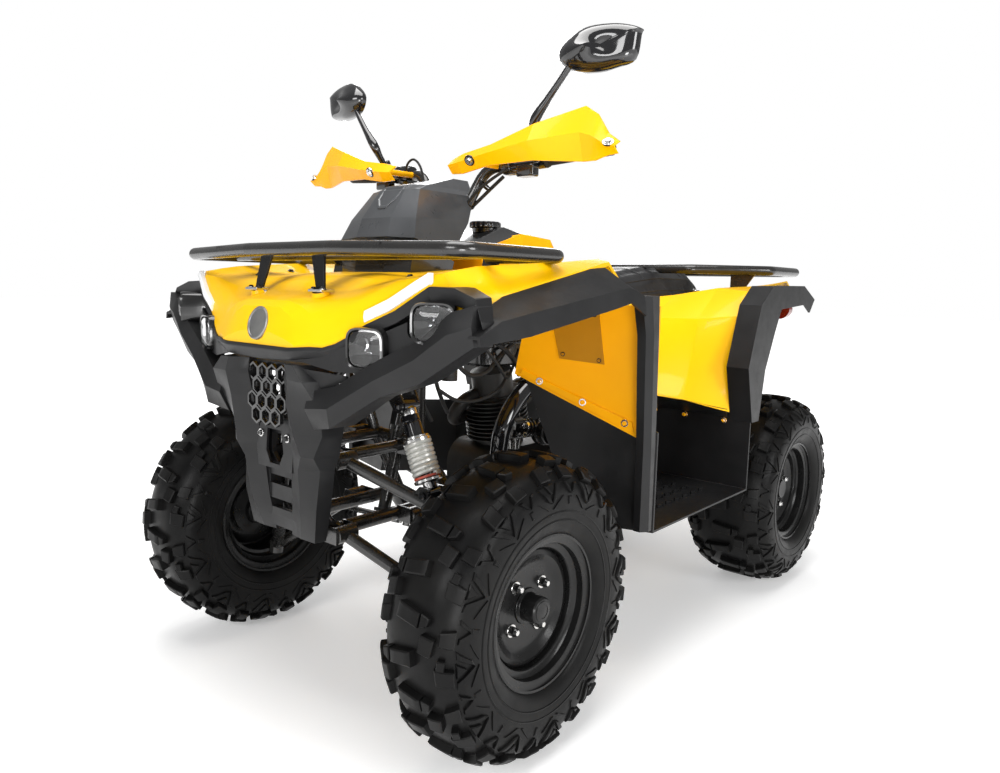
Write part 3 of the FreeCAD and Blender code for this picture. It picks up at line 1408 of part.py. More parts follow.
def rear_flare_shape():
    """A band that follows the fender's outer edge, in section an angle."""
    inner = s.fender_half_width * 0.97 + s.seat_gap
    outer = s.flare_half_width
    front = s.rear_flare_front_y
    length = s.rear_flare_length
    low = s.rear_flare_low_z
    height = s.rear_flare_height
    path = [(.08, .00), (-.01, .38), (.11, .80), (.26, .93), (.74, .94), (.93, .84)]
    inside = [(.17, .00), (.22, .35), (.33, .62), (.40, .77), (.76, .80), (.86, .74)]
    face = [Vector(outer, front + back * length, low + up * height) for back, up in path + inside[::-1]]
    skin = prism(face, Vector(-s.panel_wall, 0, 0))
    sections = []
    for back, up in path:
        spot = Vector(outer, front + back * length, low + up * height)
        sections.append(spot)
    lips = []
    for start, end in zip(sections, sections[1:]):
        run = (end - start)
        normal = Vector(0, -run.z, run.y).normalize() * -s.panel_wall
        lips.append(prism([start, end, Vector(inner, end.y, end.z), Vector(inner, start.y, start.z)], normal))
    return skin.fuse(lips)


rear_flare = rear_flare_shape()
feature("rear_flares", both_sides(rear_flare.cut([fender, footwell])))

# Tail lamps under the rear deck, racks, exhaust, tow hitch and chain.


def tail_lamp_shape():
    foot = Vector(s.tail_lamp_x, s.tail_lamp_y - s.tail_lamp_depth, s.tail_lamp_z)
    return rod(foot, foot + Vector(0, s.tail_lamp_depth, 0), s.tail_lamp_radius)


feature("tail_lamps", both_sides(largest(tail_lamp_shape().cut([rear_flare, fender]))))


def slat(x, start_y, end_y, height):
    """A flat strap along the machine, flush with the top of the rack's tubes."""
    top = height + s.rack_tube_radius
    return Part.makeBox(s.slat_width, end_y - start_y, s.slat_thickness,
                        Vector(x - s.slat_width / 2, start_y, top - s.slat_thickness))


front_rack_places = [-2.4 * s.rack_foot_x, -s.rack_foot_x, s.rack_foot_x, 2.4 * s.rack_foot_x]


def rack_support(foot, top, width):
    """A flat upright plate with a bolted foot."""
    across = Vector(width / 2, 0, 0)
    thick = Vector(0, s.slat_thickness, 0)
    plate = prism([foot - across, foot + across, top + across, top - across], thick)
    pad = centred_box(foot + Vector(0, 0, s.slat_thickness / 2), width, s.slat_width * 0.7, s.slat_thickness)
    return plate.fuse(pad)


def front_rack_shape():
    """An open loop: a bar across the front, a side tube each side and its turned-in rear end."""
    half = s.front_rack_half_width
    height = s.front_rack_z
    front_y = s.front_rack_front_y
    back_y = front_y + s.front_rack_depth
    end_x = s.rack_foot_x * 2.4
    left = [Vector(s.front_rack_kink_x, front_y, height + s.slat_thickness),
            Vector(half, front_y + s.rack_corner / 2, height), Vector(half, back_y, height),
            Vector(end_x, back_y, height)]
    right = [Vector(-point.x, point.y, point.z) for point in left[::-1]]
    loop = tube(right + left, s.rack_tube_radius, s.rack_bend)
    brace = rod(Vector(-half, s.front_rack_brace_y, height), Vector(half, s.front_rack_brace_y, height),
                s.rack_tube_radius * 0.8)
    slats = [slat(x, front_y, s.front_rack_brace_y, height) for x in front_rack_places]
    supports = []
    for x, y in ((s.rack_foot_x, s.rack_foot_y), (end_x, back_y)):
        top = Vector(x, y + s.rack_tube_radius * 0.7, height + s.rack_tube_radius * 0.5)
        foot = Vector(x, y, height_at(hood_form.Shape, x, y))
        support = rack_support(foot, top, s.slat_width * 0.9)
        supports += [support, mirrored(support)]
    return largest(loop.fuse([brace] + slats + supports).cut(hood_form.Shape))


feature("front_rack", front_rack_shape())


def rear_rack_shape():
    """A closed loop, narrow at the front, with straps along it and two plates each side."""
    half = s.rear_rack_half_width
    height = s.rear_rack_z
    front_y = s.rear_rack_front_y
    back_y = front_y + s.rear_rack_depth
    left = [Vector(half * 0.56, front_y, height), Vector(half, front_y + s.rear_rack_depth * 0.37, height),
            Vector(half, back_y - s.rack_corner, height), Vector(half - s.rack_corner, back_y, height)]
    right = [Vector(-point.x, point.y, point.z) for point in left[::-1]]
    loop = tube(left + right, s.rack_tube_radius, s.rack_bend, closed=True)
    slats = [slat(x, front_y, back_y, height) for x in (-half * 0.42, 0, half * 0.42)]
    supports = []
    for share in (0.32, 0.66):
        y = front_y + share * s.rear_rack_depth
        x = half * 0.78
        top = Vector(x, y, height - s.rack_tube_radius * 0.5)
        foot = Vector(x, y, height_at(fender, x, y))
        across = Vector(s.slat_width / 2, 0, 0)
        plate = prism([foot - across, foot + across, top + across * 2.4, top - across],
                      Vector(0, s.slat_thickness, 0))
        supports += [plate, mirrored(plate)]
    return largest(loop.fuse(slats + supports).cut([fender, seat.Shape]))


feature("rear_rack", rear_rack_shape())


def exhaust_shape():
    """A header from the head's front round the right side to the muffler at the back."""
    port = barrel_top + Vector(-s.pipe_radius, -s.barrel_radius * 0.7, 0)
    out = s.frame_half_width + s.frame_tube_radius + s.pipe_radius * 2
    tail_y = s.rear_axle_y - s.muffler_radius
    bend_z = s.heel_top_z + s.pipe_radius * 3
    points = [port, port + Vector(0, -s.barrel_radius, -s.pipe_radius),
              Vector(-s.pipe_radius * 3, port.y - s.barrel_radius, s.upper_pivot_z),
              Vector(-s.case_half_width * 0.8, belly_back_y * 0.4, bend_z),
              Vector(-s.case_half_width * 0.8, s.swing_pivot_y, bend_z),
              Vector(-out, s.swing_pivot_y + s.muffler_radius * 2, bend_z),
              Vector(-out, tail_y, bend_z)]
    pipe = tube(points, s.pipe_radius, s.tube_bend)
    start = Vector(-out, tail_y - s.muffler_length * 0.3, bend_z)
    muffler = rod(start, start + Vector(0, s.muffler_length, 0), s.muffler_radius)
    return pipe.fuse(muffler)


exhaust = exhaust_shape().cut([engine, frame])
feature("exhaust", exhaust)


def hitch_shape():
    """A flat tongue behind the rear crossmember with one pin hole, on two drop plates."""
    root_y = s.rail_back_y
    tongue_y = root_y + s.frame_tube_radius
    tongue = Part.makeBox(s.hitch_width, s.hitch_reach, s.hitch_thickness,
                          Vector(-s.hitch_width / 2, tongue_y, s.hitch_z))
    hole = Vector(0, tongue_y + s.hitch_reach * 0.6, s.hitch_z)
    bore = rod(hole, hole + Vector(0, 0, s.hitch_thickness), s.hitch_hole_radius)
    drop = s.upper_rail_z - s.frame_tube_radius * 0.4 - s.hitch_z
    drops = [Part.makeBox(mount_plate * 2, s.frame_tube_radius * 2, drop,
                          Vector(x, root_y - s.frame_tube_radius, s.hitch_z))
             for x in (-s.hitch_width / 2, s.hitch_width / 2 - mount_plate * 2)]
    return tongue.cut(bore).fuse(drops).cut(frame)


feature("tow_hitch", hitch_shape())


def chain_shape():
    """The chain as one closed band round the drive sprocket and the axle sprocket."""
    half = s.chain_width / 2
    front = Vector(s.sprocket_x - half, s.swing_pivot_y - s.drive_sprocket_radius * 3, s.swing_pivot_z)
    back = Vector(s.sprocket_x - half, s.rear_axle_y, s.rear_tyre_radius)
    wide = Vector(s.chain_width, 0, 0)
    gap = s.running_gap

    def belt(front_radius, back_radius):
        slope = (back - front)
        lean = math.asin((back_radius - front_radius) / slope.Length)
        normal = Vector(0, -slope.z, slope.y).normalize()
        along = Vector(slope).normalize()
        up = normal * math.cos(lean) - along * math.sin(lean)
        down = normal * -math.cos(lean) - along * math.sin(lean)
        hull = prism([front + up * front_radius, back + up * back_radius,
                      back + down * back_radius, front + down * front_radius], wide)
        return hull.fuse([rod(front, front + wide, front_radius), rod(back, back + wide, back_radius)])

    outer = belt(s.drive_sprocket_radius + s.chain_height, s.sprocket_radius + gap + s.chain_height)
    inner = belt(s.drive_sprocket_radius, s.sprocket_radius + gap)
    return outer.cut(inner)


feature("chain", chain_shape())


# Handguards, mirrors on stems, and the switch blocks with their levers.


# Handguard: share of its length, then (back, high, low) shares of its height.
guard_shares = [
    (-.07, .04, .14, -.20), (0.02, .00, .22, -.22), (0.23, .01, .34, -.10), (0.51, .18, .68, -.06),
    (0.785, .58, .98, -.12), (0.86, .60, .80, -.12), (0.93, .62, .40, -.04), (1.00, .63, .22, -.02),
]


def guard_shape():
    """A faceted shell in front of the left grip, open towards the rider."""
    sections = []
    for out, back, high, low in guard_shares:
        x = s.guard_inner_x + out * s.guard_length
        y = s.guard_inner_y + back * s.guard_height
        middle = (high + low) / 2 * s.guard_height
        top = Vector(x, y + s.guard_wall, s.guard_z + high * s.guard_height)
        front = Vector(x, y - s.guard_wall * 3, s.guard_z + middle)
        foot = Vector(x, y, s.guard_z + low * s.guard_height)
        wall = Vector(0, s.guard_wall, 0)
        sections.append([top, front, foot, foot + wall, front + wall, top + wall])
    return loft(sections)


def guard_brackets():
    """A clamp arm at the bar's shoulder and one at its end."""
    inner_start = bar_shoulder + (bar_end - bar_shoulder) * 0.12
    inner_end = Vector(inner_start.x, s.guard_inner_y - s.guard_wall, s.guard_z + s.guard_wall)
    outer_end = Vector(bar_end.x, s.guard_inner_y + s.guard_height * 0.5, bar_end.z)
    return [rod(inner_start, inner_end, s.mirror_stem_radius), rod(grip_tip, outer_end, s.mirror_stem_radius)]


guard = guard_shape().fuse(guard_brackets()).cut([handlebar, grip])
feature("handguards", both_sides(guard))

mirror_centre = Vector(s.mirror_x, s.mirror_y, s.mirror_z)


# Mirror head: (across, up) shares of its half width and half height.
mirror_shares = [(-1.0, .02), (-.62, .70), (-.25, .98), (.45, .86), (1.0, .51), (.86, -.69), (.40, -.90),
                 (-.155, -1.0), (-.79, -.71)]


def mirror_ring(share, back):
    """The head's outline drawn in by a share, at a share of its depth from the glass forwards."""
    spots = []
    for across, up in mirror_shares:
        turn = across * s.mirror_width * 0.09
        spots.append(mirror_centre + Vector(across * s.mirror_width / 2 * share, turn + back * s.mirror_depth,
                                            up * s.mirror_height / 2 * share))
    return spots


def mirror_shape():
    """A shallow domed head on a bent, flattened stem from the switch block."""
    head = loft([mirror_ring(.34, -.72), mirror_ring(.80, -.44), mirror_ring(1, 0), mirror_ring(.985, .28)])
    along = (bar_end - bar_shoulder).normalize()
    foot = bar_shoulder + (bar_end - bar_shoulder) * 0.43
    clamp_half = along * (s.mirror_stem_radius * 1.3)
    clamp = rod(foot - clamp_half, foot + clamp_half, s.bar_radius * 1.6)
    base = Vector(foot.x, foot.y, foot.z + s.bar_radius * 1.3)
    elbow = Vector(foot.x + s.mirror_stem_radius, s.mirror_y - s.mirror_depth * 0.6,
                   foot.z + s.mirror_height * 0.72)
    neck = mirror_centre + Vector(-s.mirror_width * 0.27, -s.mirror_depth * 0.42, -s.mirror_height * 0.16)
    stem = tube([base, elbow, neck], s.mirror_stem_radius, s.tube_bend)
    knob = rod(elbow - Vector(0, 0, s.mirror_height * 0.36), elbow + Vector(0, 0, s.mirror_height * 0.1),
               s.mirror_stem_radius * 1.6)
    return head.fuse([clamp, stem, knob])


def control_shape():
    """A switch block on the bar and the brake lever in front of the grip."""
    start = bar_shoulder + (bar_end - bar_shoulder) * 0.16
    along = (bar_end - bar_shoulder).normalize()
    block = rod(start, start + along * s.switch_length, s.switch_radius)
    pivot = start + along * (s.switch_length * 0.6) + Vector(0, -s.switch_radius * 1.6, 0)
    tip = pivot + along * s.mirror_width * 1.1 + Vector(0, -s.switch_radius * 0.2, 0)
    perch = rod(start + along * (s.switch_length * 0.6), pivot, s.mirror_stem_radius * 1.4)
    lever = rod(pivot, tip, s.mirror_stem_radius * 0.8)
    return block.fuse([perch, lever])


mirror = mirror_shape().cut(handlebar)
control = control_shape().cut([handlebar, grip, mirror])
feature("controls", both_sides(control))
feature("mirrors", both_sides(mirror.cut(guard)))


doc.recompute()
for thing in doc.Objects:
    if "Invalid" in thing.State or "Error" in thing.State:
        raise RuntimeError(f"{thing.Label} did not build: {thing.State}")
for thing in nodes:
    if thing.Shape.isNull() or not thing.Shape.isValid():
        raise RuntimeError(f"{thing.Label} has no valid shape")

os.makedirs("parts", exist_ok=True)
for thing in nodes:
    thing.Shape.exportStep(os.path.join("parts", thing.Label + ".step"))
print(f"{len(nodes)} sub-parts written")
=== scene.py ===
import json
import math

import bmesh
import bpy
from mathutils import Matrix, Vector
from mathutils.bvhtree import BVHTree

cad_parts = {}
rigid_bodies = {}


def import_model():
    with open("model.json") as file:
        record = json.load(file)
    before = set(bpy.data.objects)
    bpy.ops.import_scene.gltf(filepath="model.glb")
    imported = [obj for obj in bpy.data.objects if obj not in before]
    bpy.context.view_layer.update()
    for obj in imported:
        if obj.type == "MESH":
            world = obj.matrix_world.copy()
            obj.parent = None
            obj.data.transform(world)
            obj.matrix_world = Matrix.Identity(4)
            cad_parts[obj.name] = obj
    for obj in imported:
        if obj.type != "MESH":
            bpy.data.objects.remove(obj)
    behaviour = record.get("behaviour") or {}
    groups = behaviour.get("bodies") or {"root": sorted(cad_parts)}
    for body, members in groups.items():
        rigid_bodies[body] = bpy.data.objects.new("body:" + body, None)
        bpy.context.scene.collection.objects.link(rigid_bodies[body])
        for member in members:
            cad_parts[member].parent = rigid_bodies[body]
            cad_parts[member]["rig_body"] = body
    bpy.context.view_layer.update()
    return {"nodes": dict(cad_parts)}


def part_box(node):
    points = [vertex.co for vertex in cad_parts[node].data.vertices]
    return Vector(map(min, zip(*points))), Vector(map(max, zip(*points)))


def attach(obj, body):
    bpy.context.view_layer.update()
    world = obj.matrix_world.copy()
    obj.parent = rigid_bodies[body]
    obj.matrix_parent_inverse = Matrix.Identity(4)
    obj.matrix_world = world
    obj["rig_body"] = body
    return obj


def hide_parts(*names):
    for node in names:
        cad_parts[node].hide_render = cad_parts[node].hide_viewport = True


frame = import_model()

# Quad bike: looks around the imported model. Metres, front towards -Y, left side towards +X.

nodes = frame["nodes"]
print("stage: frame loaded,", len(nodes), "nodes")


# Finishes


def addNode(tree, kind, **values):
    node = tree.nodes.new(kind)
    for name, value in values.items():
        setattr(node, name, value)
    return node


def noiseOn(tree, coords, scale, detail=4.0, roughness=0.55):
    noise = addNode(tree, "ShaderNodeTexNoise")
    noise.inputs["Scale"].default_value = scale
    noise.inputs["Detail"].default_value = detail
    noise.inputs["Roughness"].default_value = roughness
    tree.links.new(coords, noise.inputs["Vector"])
    return noise.outputs["Fac"]


def ranged(tree, source, low, high, start=0.3, end=0.7):
    node = addNode(tree, "ShaderNodeMapRange")
    node.inputs["From Min"].default_value = start
    node.inputs["From Max"].default_value = end
    node.inputs["To Min"].default_value = low
    node.inputs["To Max"].default_value = high
    tree.links.new(source, node.inputs["Value"])
    return node.outputs["Result"]


def blended(tree, factor, first, second):
    mix = addNode(tree, "ShaderNodeMix", data_type="RGBA")
    mix.inputs["A"].default_value = (*first, 1)
    mix.inputs["B"].default_value = (*second, 1)
    tree.links.new(factor, mix.inputs["Factor"])
    return mix.outputs["Result"]


def bumped(tree, source, strength, distance, under=None):
    bump = addNode(tree, "ShaderNodeBump")
    bump.inputs["Strength"].default_value = strength
    bump.inputs["Distance"].default_value = distance
    tree.links.new(source, bump.inputs["Height"])
    if under is not None:
        tree.links.new(under, bump.inputs["Normal"])
    return bump.outputs["Normal"]


def finish(name, look):
    material = bpy.data.materials.new(name)
    material.use_nodes = True
    tree = material.node_tree
    shader = tree.nodes["Principled BSDF"]
    coords = addNode(tree, "ShaderNodeTexCoord").outputs["Object"]
    cloud = noiseOn(tree, coords, look.get("cloudScale", 9), 5)
    tone = ranged(tree, cloud, 0, 1)
    tree.links.new(blended(tree, tone, look["dark"], look["light"]), shader.inputs["Base Color"])
    grain = noiseOn(tree, coords, look.get("grainScale", 500), look.get("grainDetail", 3))
    smudge = noiseOn(tree, coords, look.get("smudgeScale", 30), 6, 0.6)
    low, high = look["rough"]
    tree.links.new(ranged(tree, smudge, low, high), shader.inputs["Roughness"])
    normal = bumped(tree, grain, look.get("grainStrength", 0.2), look.get("grainDepth", 0.0004))
    if "waveDepth" in look:
        normal = bumped(tree, noiseOn(tree, coords, look["waveScale"], 2), 1, look["waveDepth"], normal)
    tree.links.new(normal, shader.inputs["Normal"])
    shader.inputs["Metallic"].default_value = look.get("metal", 0)
    shader.inputs["Coat Weight"].default_value = look.get("coat", 0)
    shader.inputs["Coat Roughness"].default_value = look.get("coatRough", 0.03)
    shader.inputs["IOR"].default_value = look.get("ior", 1.5)
    shader.inputs["Specular IOR Level"].default_value = look.get("specular", 0.5)
    shader.inputs["Transmission Weight"].default_value = look.get("clear", 0)
    return material


looks = {
    "glossYellow": dict(dark=(0.86, 0.46, 0.0), light=(0.92, 0.51, 0.001), rough=(0.30, 0.38), coat=0.14,
                        coatRough=0.05, specular=0.12, grainScale=900, grainStrength=0.05,
                        grainDepth=0.0002, cloudScale=3),
    "guardYellow": dict(dark=(0.86, 0.40, 0.0), light=(0.92, 0.45, 0.001), rough=(0.30, 0.38), coat=0.14,
                        coatRough=0.05, specular=0.12, grainScale=900, grainStrength=0.05,
                        grainDepth=0.0002, cloudScale=3),
    # deepYellow is a more orange copy of the yellow plastic; on the arch panels and their flanges it is painted shade
    # of the hood's yellow, which lies in shadow under the flares
    "deepYellow": dict(dark=(0.88, 0.37, 0.0), light=(0.92, 0.42, 0.001), rough=(0.40, 0.50), coat=0.04,
                       coatRough=0.3, specular=0.10, grainScale=900, grainStrength=0.08, grainDepth=0.0002,
                       cloudScale=4),
    "plateYellow": dict(dark=(0.36, 0.15, 0.0), light=(0.44, 0.19, 0.001), rough=(0.40, 0.50), coat=0.06,
                        coatRough=0.3, specular=0.16, grainScale=900, grainStrength=0.1, grainDepth=0.0002,
                        cloudScale=6),
    "blackPlastic": dict(dark=(0.005, 0.005, 0.0054), light=(0.010, 0.010, 0.0105), rough=(0.34, 0.46),
                         specular=0.30, grainScale=1300, grainStrength=0.3, grainDepth=0.00025),
    "glossBlack": dict(dark=(0.004, 0.004, 0.005), light=(0.009, 0.009, 0.010), rough=(0.07, 0.14), coat=0.6,
                       grainScale=700, grainStrength=0.04, grainDepth=0.0002),
    "paintedFrame": dict(dark=(0.007, 0.007, 0.007), light=(0.014, 0.013, 0.012), rough=(0.2, 0.32), coat=0.4,
                         grainScale=600, grainStrength=0.1, grainDepth=0.0003),
    "rubber": dict(dark=(0.0036, 0.0036, 0.0038), light=(0.0080, 0.0078, 0.0075), rough=(0.28, 0.46),
                   specular=0.11, grainScale=700, grainStrength=0.3, grainDepth=0.0004, cloudScale=14),
    "gripRubber": dict(dark=(0.008, 0.008, 0.008), light=(0.016, 0.016, 0.016), rough=(0.55, 0.7),
                       specular=0.35, grainScale=800, grainStrength=0.4, grainDepth=0.0004),
    "blackSteel": dict(dark=(0.005, 0.005, 0.005), light=(0.010, 0.010, 0.010), rough=(0.24, 0.36), coat=0.12,
                       coatRough=0.1, specular=0.2, grainScale=900, grainStrength=0.12, grainDepth=0.0002),
    "castAlloy": dict(dark=(0.16, 0.16, 0.16), light=(0.33, 0.33, 0.32), rough=(0.36, 0.52), metal=0.85,
                      grainScale=500, grainStrength=0.5, grainDepth=0.0005),
    "darkAlloy": dict(dark=(0.020, 0.020, 0.019), light=(0.055, 0.053, 0.050), rough=(0.34, 0.5), metal=0.5,
                      grainScale=500, grainStrength=0.5, grainDepth=0.0005),
    "brightSteel": dict(dark=(0.52, 0.52, 0.52), light=(0.72, 0.71, 0.69), rough=(0.14, 0.26), metal=1.0,
                        grainScale=900, grainStrength=0.08, grainDepth=0.0002),
    "silverPlastic": dict(dark=(0.050, 0.053, 0.057), light=(0.080, 0.084, 0.090), rough=(0.26, 0.36), metal=0.3,
                          coat=0.4, coatRough=0.12, grainScale=1500, grainStrength=0.15, grainDepth=0.0002),
    "seatVinyl": dict(dark=(0.008, 0.008, 0.009), light=(0.017, 0.017, 0.018), rough=(0.36, 0.50),
                      grainScale=420, grainDetail=6, grainStrength=0.5, grainDepth=0.0006),
    "lampGlass": dict(dark=(0.92, 0.93, 0.94), light=(1, 1, 1), rough=(0.0, 0.02), clear=1.0, ior=1.46,
                      grainScale=60, grainStrength=0.02, grainDepth=0.0001),
    "lampBlack": dict(dark=(0.005, 0.005, 0.005), light=(0.011, 0.011, 0.011), rough=(0.14, 0.24), coat=0.5,
                      grainScale=900, grainStrength=0.05, grainDepth=0.0002),
    "mirrorSilver": dict(dark=(0.80, 0.81, 0.82), light=(0.88, 0.88, 0.89), rough=(0.03, 0.08), metal=1.0,
                         grainScale=300, grainStrength=0.02, grainDepth=0.0001),
    "lightStrip": dict(dark=(0.78, 0.79, 0.80), light=(0.88, 0.89, 0.90), rough=(0.12, 0.22), coat=0.6,
                       grainScale=400, grainStrength=0.1, grainDepth=0.0003),
    "redLens": dict(dark=(0.12, 0.004, 0.004), light=(0.20, 0.008, 0.006), rough=(0.06, 0.14), coat=0.8,
                    grainScale=400, grainStrength=0.1, grainDepth=0.0003),
    "amberPart": dict(dark=(0.55, 0.10, 0.01), light=(0.68, 0.15, 0.02), rough=(0.3, 0.4), coat=0.3,
                      grainScale=600, grainStrength=0.1, grainDepth=0.0002),
    "springSteel": dict(dark=(0.36, 0.36, 0.34), light=(0.48, 0.48, 0.45), rough=(0.26, 0.36), metal=0.35, coat=0.4,
                        grainScale=900, grainStrength=0.1, grainDepth=0.0002),
    "goldFitting": dict(dark=(0.50, 0.30, 0.10), light=(0.66, 0.42, 0.16), rough=(0.2, 0.32), metal=1.0,
                        grainScale=900, grainStrength=0.1, grainDepth=0.0002),
    "redRing": dict(dark=(0.30, 0.03, 0.01), light=(0.42, 0.05, 0.02), rough=(0.3, 0.4), coat=0.4,
                    grainScale=900, grainStrength=0.1, grainDepth=0.0002),
    "chainSteel": dict(dark=(0.10, 0.095, 0.09), light=(0.22, 0.21, 0.20), rough=(0.3, 0.45), metal=1.0,
                       grainScale=900, grainStrength=0.2, grainDepth=0.0002),
    "pipeSteel": dict(dark=(0.014, 0.013, 0.012), light=(0.034, 0.032, 0.030), rough=(0.4, 0.6), metal=0.4,
                      grainScale=600, grainStrength=0.4, grainDepth=0.0004),
    "canisterTan": dict(dark=(0.30, 0.24, 0.12), light=(0.42, 0.35, 0.19), rough=(0.35, 0.5), metal=0.4,
                        grainScale=600, grainStrength=0.2, grainDepth=0.0003),
}
finishes = {name: finish(name, look) for name, look in looks.items()}
print("stage: finishes made,", len(finishes))


# Mesh helpers. Each adds to one bmesh and gives one material place to every face at or past the face count the bmesh
# had before it.


def painted(bm, before, place):
    bm.faces.ensure_lookup_table()
    for face in bm.faces[before:]:
        face.material_index = place


def towards(axis):
    return Vector((0, 0, 1)).rotation_difference(Vector(axis)).to_matrix().to_4x4()


def addRod(bm, start, end, radius, place=0, segments=20, endRadius=None):
    start = Vector(start)
    end = Vector(end)
    before = len(bm.faces)
    reach = end - start
    matrix = Matrix.Translation((start + end) / 2) @ towards(reach)
    bmesh.ops.create_cone(bm, cap_ends=True, segments=segments, radius1=radius,
                          radius2=radius if endRadius is None else endRadius, depth=reach.length, matrix=matrix)
    painted(bm, before, place)


def addBlock(bm, centre, size, place=0, turn=None):
    before = len(bm.faces)
    scale = Matrix.Diagonal((*size, 1))
    matrix = Matrix.Translation(centre) @ (turn.to_4x4() if turn else Matrix()) @ scale
    bmesh.ops.create_cube(bm, size=1, matrix=matrix)
    painted(bm, before, place)


def addLoft(bm, rings, place=0, capped=True, closed=False):
    before = len(bm.faces)
    made = [[bm.verts.new(point) for point in ring] for ring in rings]
    pairs = list(zip(made, made[1:]))
    if closed:
        pairs.append((made[-1], made[0]))
    for low, high in pairs:
        for i in range(len(low)):
            j = (i + 1) % len(low)
            bm.faces.new((low[i], low[j], high[j], high[i]))
    if capped and not closed:
        bm.faces.new(made[0][::-1])
        bm.faces.new(made[-1])
    painted(bm, before, place)


def addPrism(bm, outline, depth, place=0):
    depth = Vector(depth)
    addLoft(bm, [[Vector(p) for p in outline], [Vector(p) + depth for p in outline]], place)


def smoothLine(points, cuts=6, closed=False):
    points = [Vector(p) for p in points]
    spots = []
    count = len(points)
    for i in range(count if closed else count - 1):
        if closed:
            a, b, c, d = (points[(i + k - 1) % count] for k in range(4))
        else:
            a, b, c, d = points[max(i - 1, 0)], points[i], points[i + 1], points[min(i + 2, count - 1)]
        for step in range(cuts):
            t = step / cuts
            spots.append(0.5 * (2 * b + (c - a) * t + (2 * a - 5 * b + 4 * c - d) * t * t
                                + (3 * b - a - 3 * c + d) * t ** 3))
    if not closed:
        spots.append(points[-1])
    return spots


def ringsAlong(spots, radius, segments, closed=False):
    rings = []
    side = None
    count = len(spots)
    for i, spot in enumerate(spots):
        ahead = spots[(i + 1) % count] if closed else spots[min(i + 1, count - 1)]
        behind = spots[i - 1] if closed else spots[max(i - 1, 0)]
        along = (ahead - behind).normalized()
        if side is None:
            side = along.orthogonal().normalized()
        side = (side - along * side.dot(along)).normalized()
        up = along.cross(side)
        size = radius(i / max(count - 1, 1)) if callable(radius) else radius
        rings.append([spot + (side * math.cos(turn) + up * math.sin(turn)) * size
                      for turn in (math.tau * k / segments for k in range(segments))])
    return rings


def addTube(bm, points, radius, place=0, segments=12, cuts=6, closed=False):
    spots = smoothLine(points, cuts, closed)
    addLoft(bm, ringsAlong(spots, radius, segments, closed), place, closed=closed)


def addHelix(bm, start, end, radius, wire, turns, place=0, steps=18, segments=8):
    start = Vector(start)
    reach = Vector(end) - start
    frameTurn = towards(reach).to_3x3()
    spots = []
    count = int(turns * steps)
    for i in range(count + 1):
        angle = math.tau * i / steps
        around = frameTurn @ Vector((math.cos(angle), math.sin(angle), 0)) * radius
        spots.append(start + reach * (i / count) + around)
    addLoft(bm, ringsAlong(spots, wire, segments), place)


def addTurned(bm, profile, centre, axis, steps=48, place=0):
    before = len(bm.faces)
    turn = towards(axis)
    made = [bm.verts.new(Vector(centre) + turn @ Vector((radius, 0, along))) for radius, along in profile]
    edges = [bm.edges.new(pair) for pair in zip(made, made[1:])]
    bmesh.ops.spin(bm, geom=made + edges, cent=centre, axis=Vector(axis).normalized(), angle=math.tau,
                   steps=steps, use_merge=True)
    painted(bm, before, place)


def addBolt(bm, spot, out, radius, place=0, segments=6, washer=True):
    spot = Vector(spot)
    out = Vector(out).normalized()
    if washer:
        addRod(bm, spot - out * radius * 0.3, spot + out * radius * 0.28, radius * 1.45, place, 18)
    addRod(bm, spot, spot + out * radius * 0.9, radius, place, segments, radius * 0.94)
    addRod(bm, spot + out * radius * 0.85, spot + out * radius * 1.0, radius * 0.8, place, segments, radius * 0.6)


def mirrorOf(point):
    return Vector((-point[0], point[1], point[2]))


def mirrorMesh(bm):
    copy = bmesh.ops.duplicate(bm, geom=bm.verts[:] + bm.edges[:] + bm.faces[:])["geom"]
    verts = [item for item in copy if isinstance(item, bmesh.types.BMVert)]
    faces = [item for item in copy if isinstance(item, bmesh.types.BMFace)]
    for vert in verts:
        vert.co.x = -vert.co.x
    bmesh.ops.reverse_faces(bm, faces=faces)


def makePiece(name, bm, body, finishNames, hides=(), angle=32, bevel=0, segments=2, keepNormals=False):
    if not keepNormals:
        bmesh.ops.recalc_face_normals(bm, faces=bm.faces)
    for face in bm.faces:
        face.smooth = True
    for edge in bm.edges:
        edge.smooth = edge.calc_face_angle(0) < math.radians(angle)
    mesh = bpy.data.meshes.new(name)
    bm.to_mesh(mesh)
    bm.free()
    piece = bpy.data.objects.new(name, mesh)
    bpy.context.scene.collection.objects.link(piece)
    for finishName in finishNames.split():
        mesh.materials.append(finishes[finishName])
    if bevel:
        edges = piece.modifiers.new("edges", "BEVEL")
        edges.width = bevel
        edges.segments = segments
        edges.limit_method = "ANGLE"
        edges.angle_limit = math.radians(angle)
        edges.use_clamp_overlap = True
    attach(piece, body)
    if hides:
        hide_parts(*hides)
    return piece


# Carried-over solids that only need a finish

nodeFinishes = {
    "blackPlastic": "grille front_fascia",
    "paintedFrame": "frame belly_plate steering_column handlebar upper_arms lower_arms swingarm tow_hitch",
    "gripRubber": "grips",
    "blackSteel": "knuckle_left knuckle_right rear_axle",
    "darkAlloy": "engine",
    "brightSteel": "tie_rod_left tie_rod_right",
    "lampBlack": "headlamps pod_base",
    "chainSteel": "chain",
    "pipeSteel": "exhaust",
    "glossBlack": "mirrors controls",
    "redLens": "tail_lamps",
    "springSteel": "rear_shock front_shocks",
    "seatVinyl": "seat",
}
for finishName, members in nodeFinishes.items():
    for nodeName in members.split():
        nodes[nodeName].data.materials.clear()
        nodes[nodeName].data.materials.append(finishes[finishName])


# Wheels: a carcass turned from its section, and lugs laid on it by their place round and across

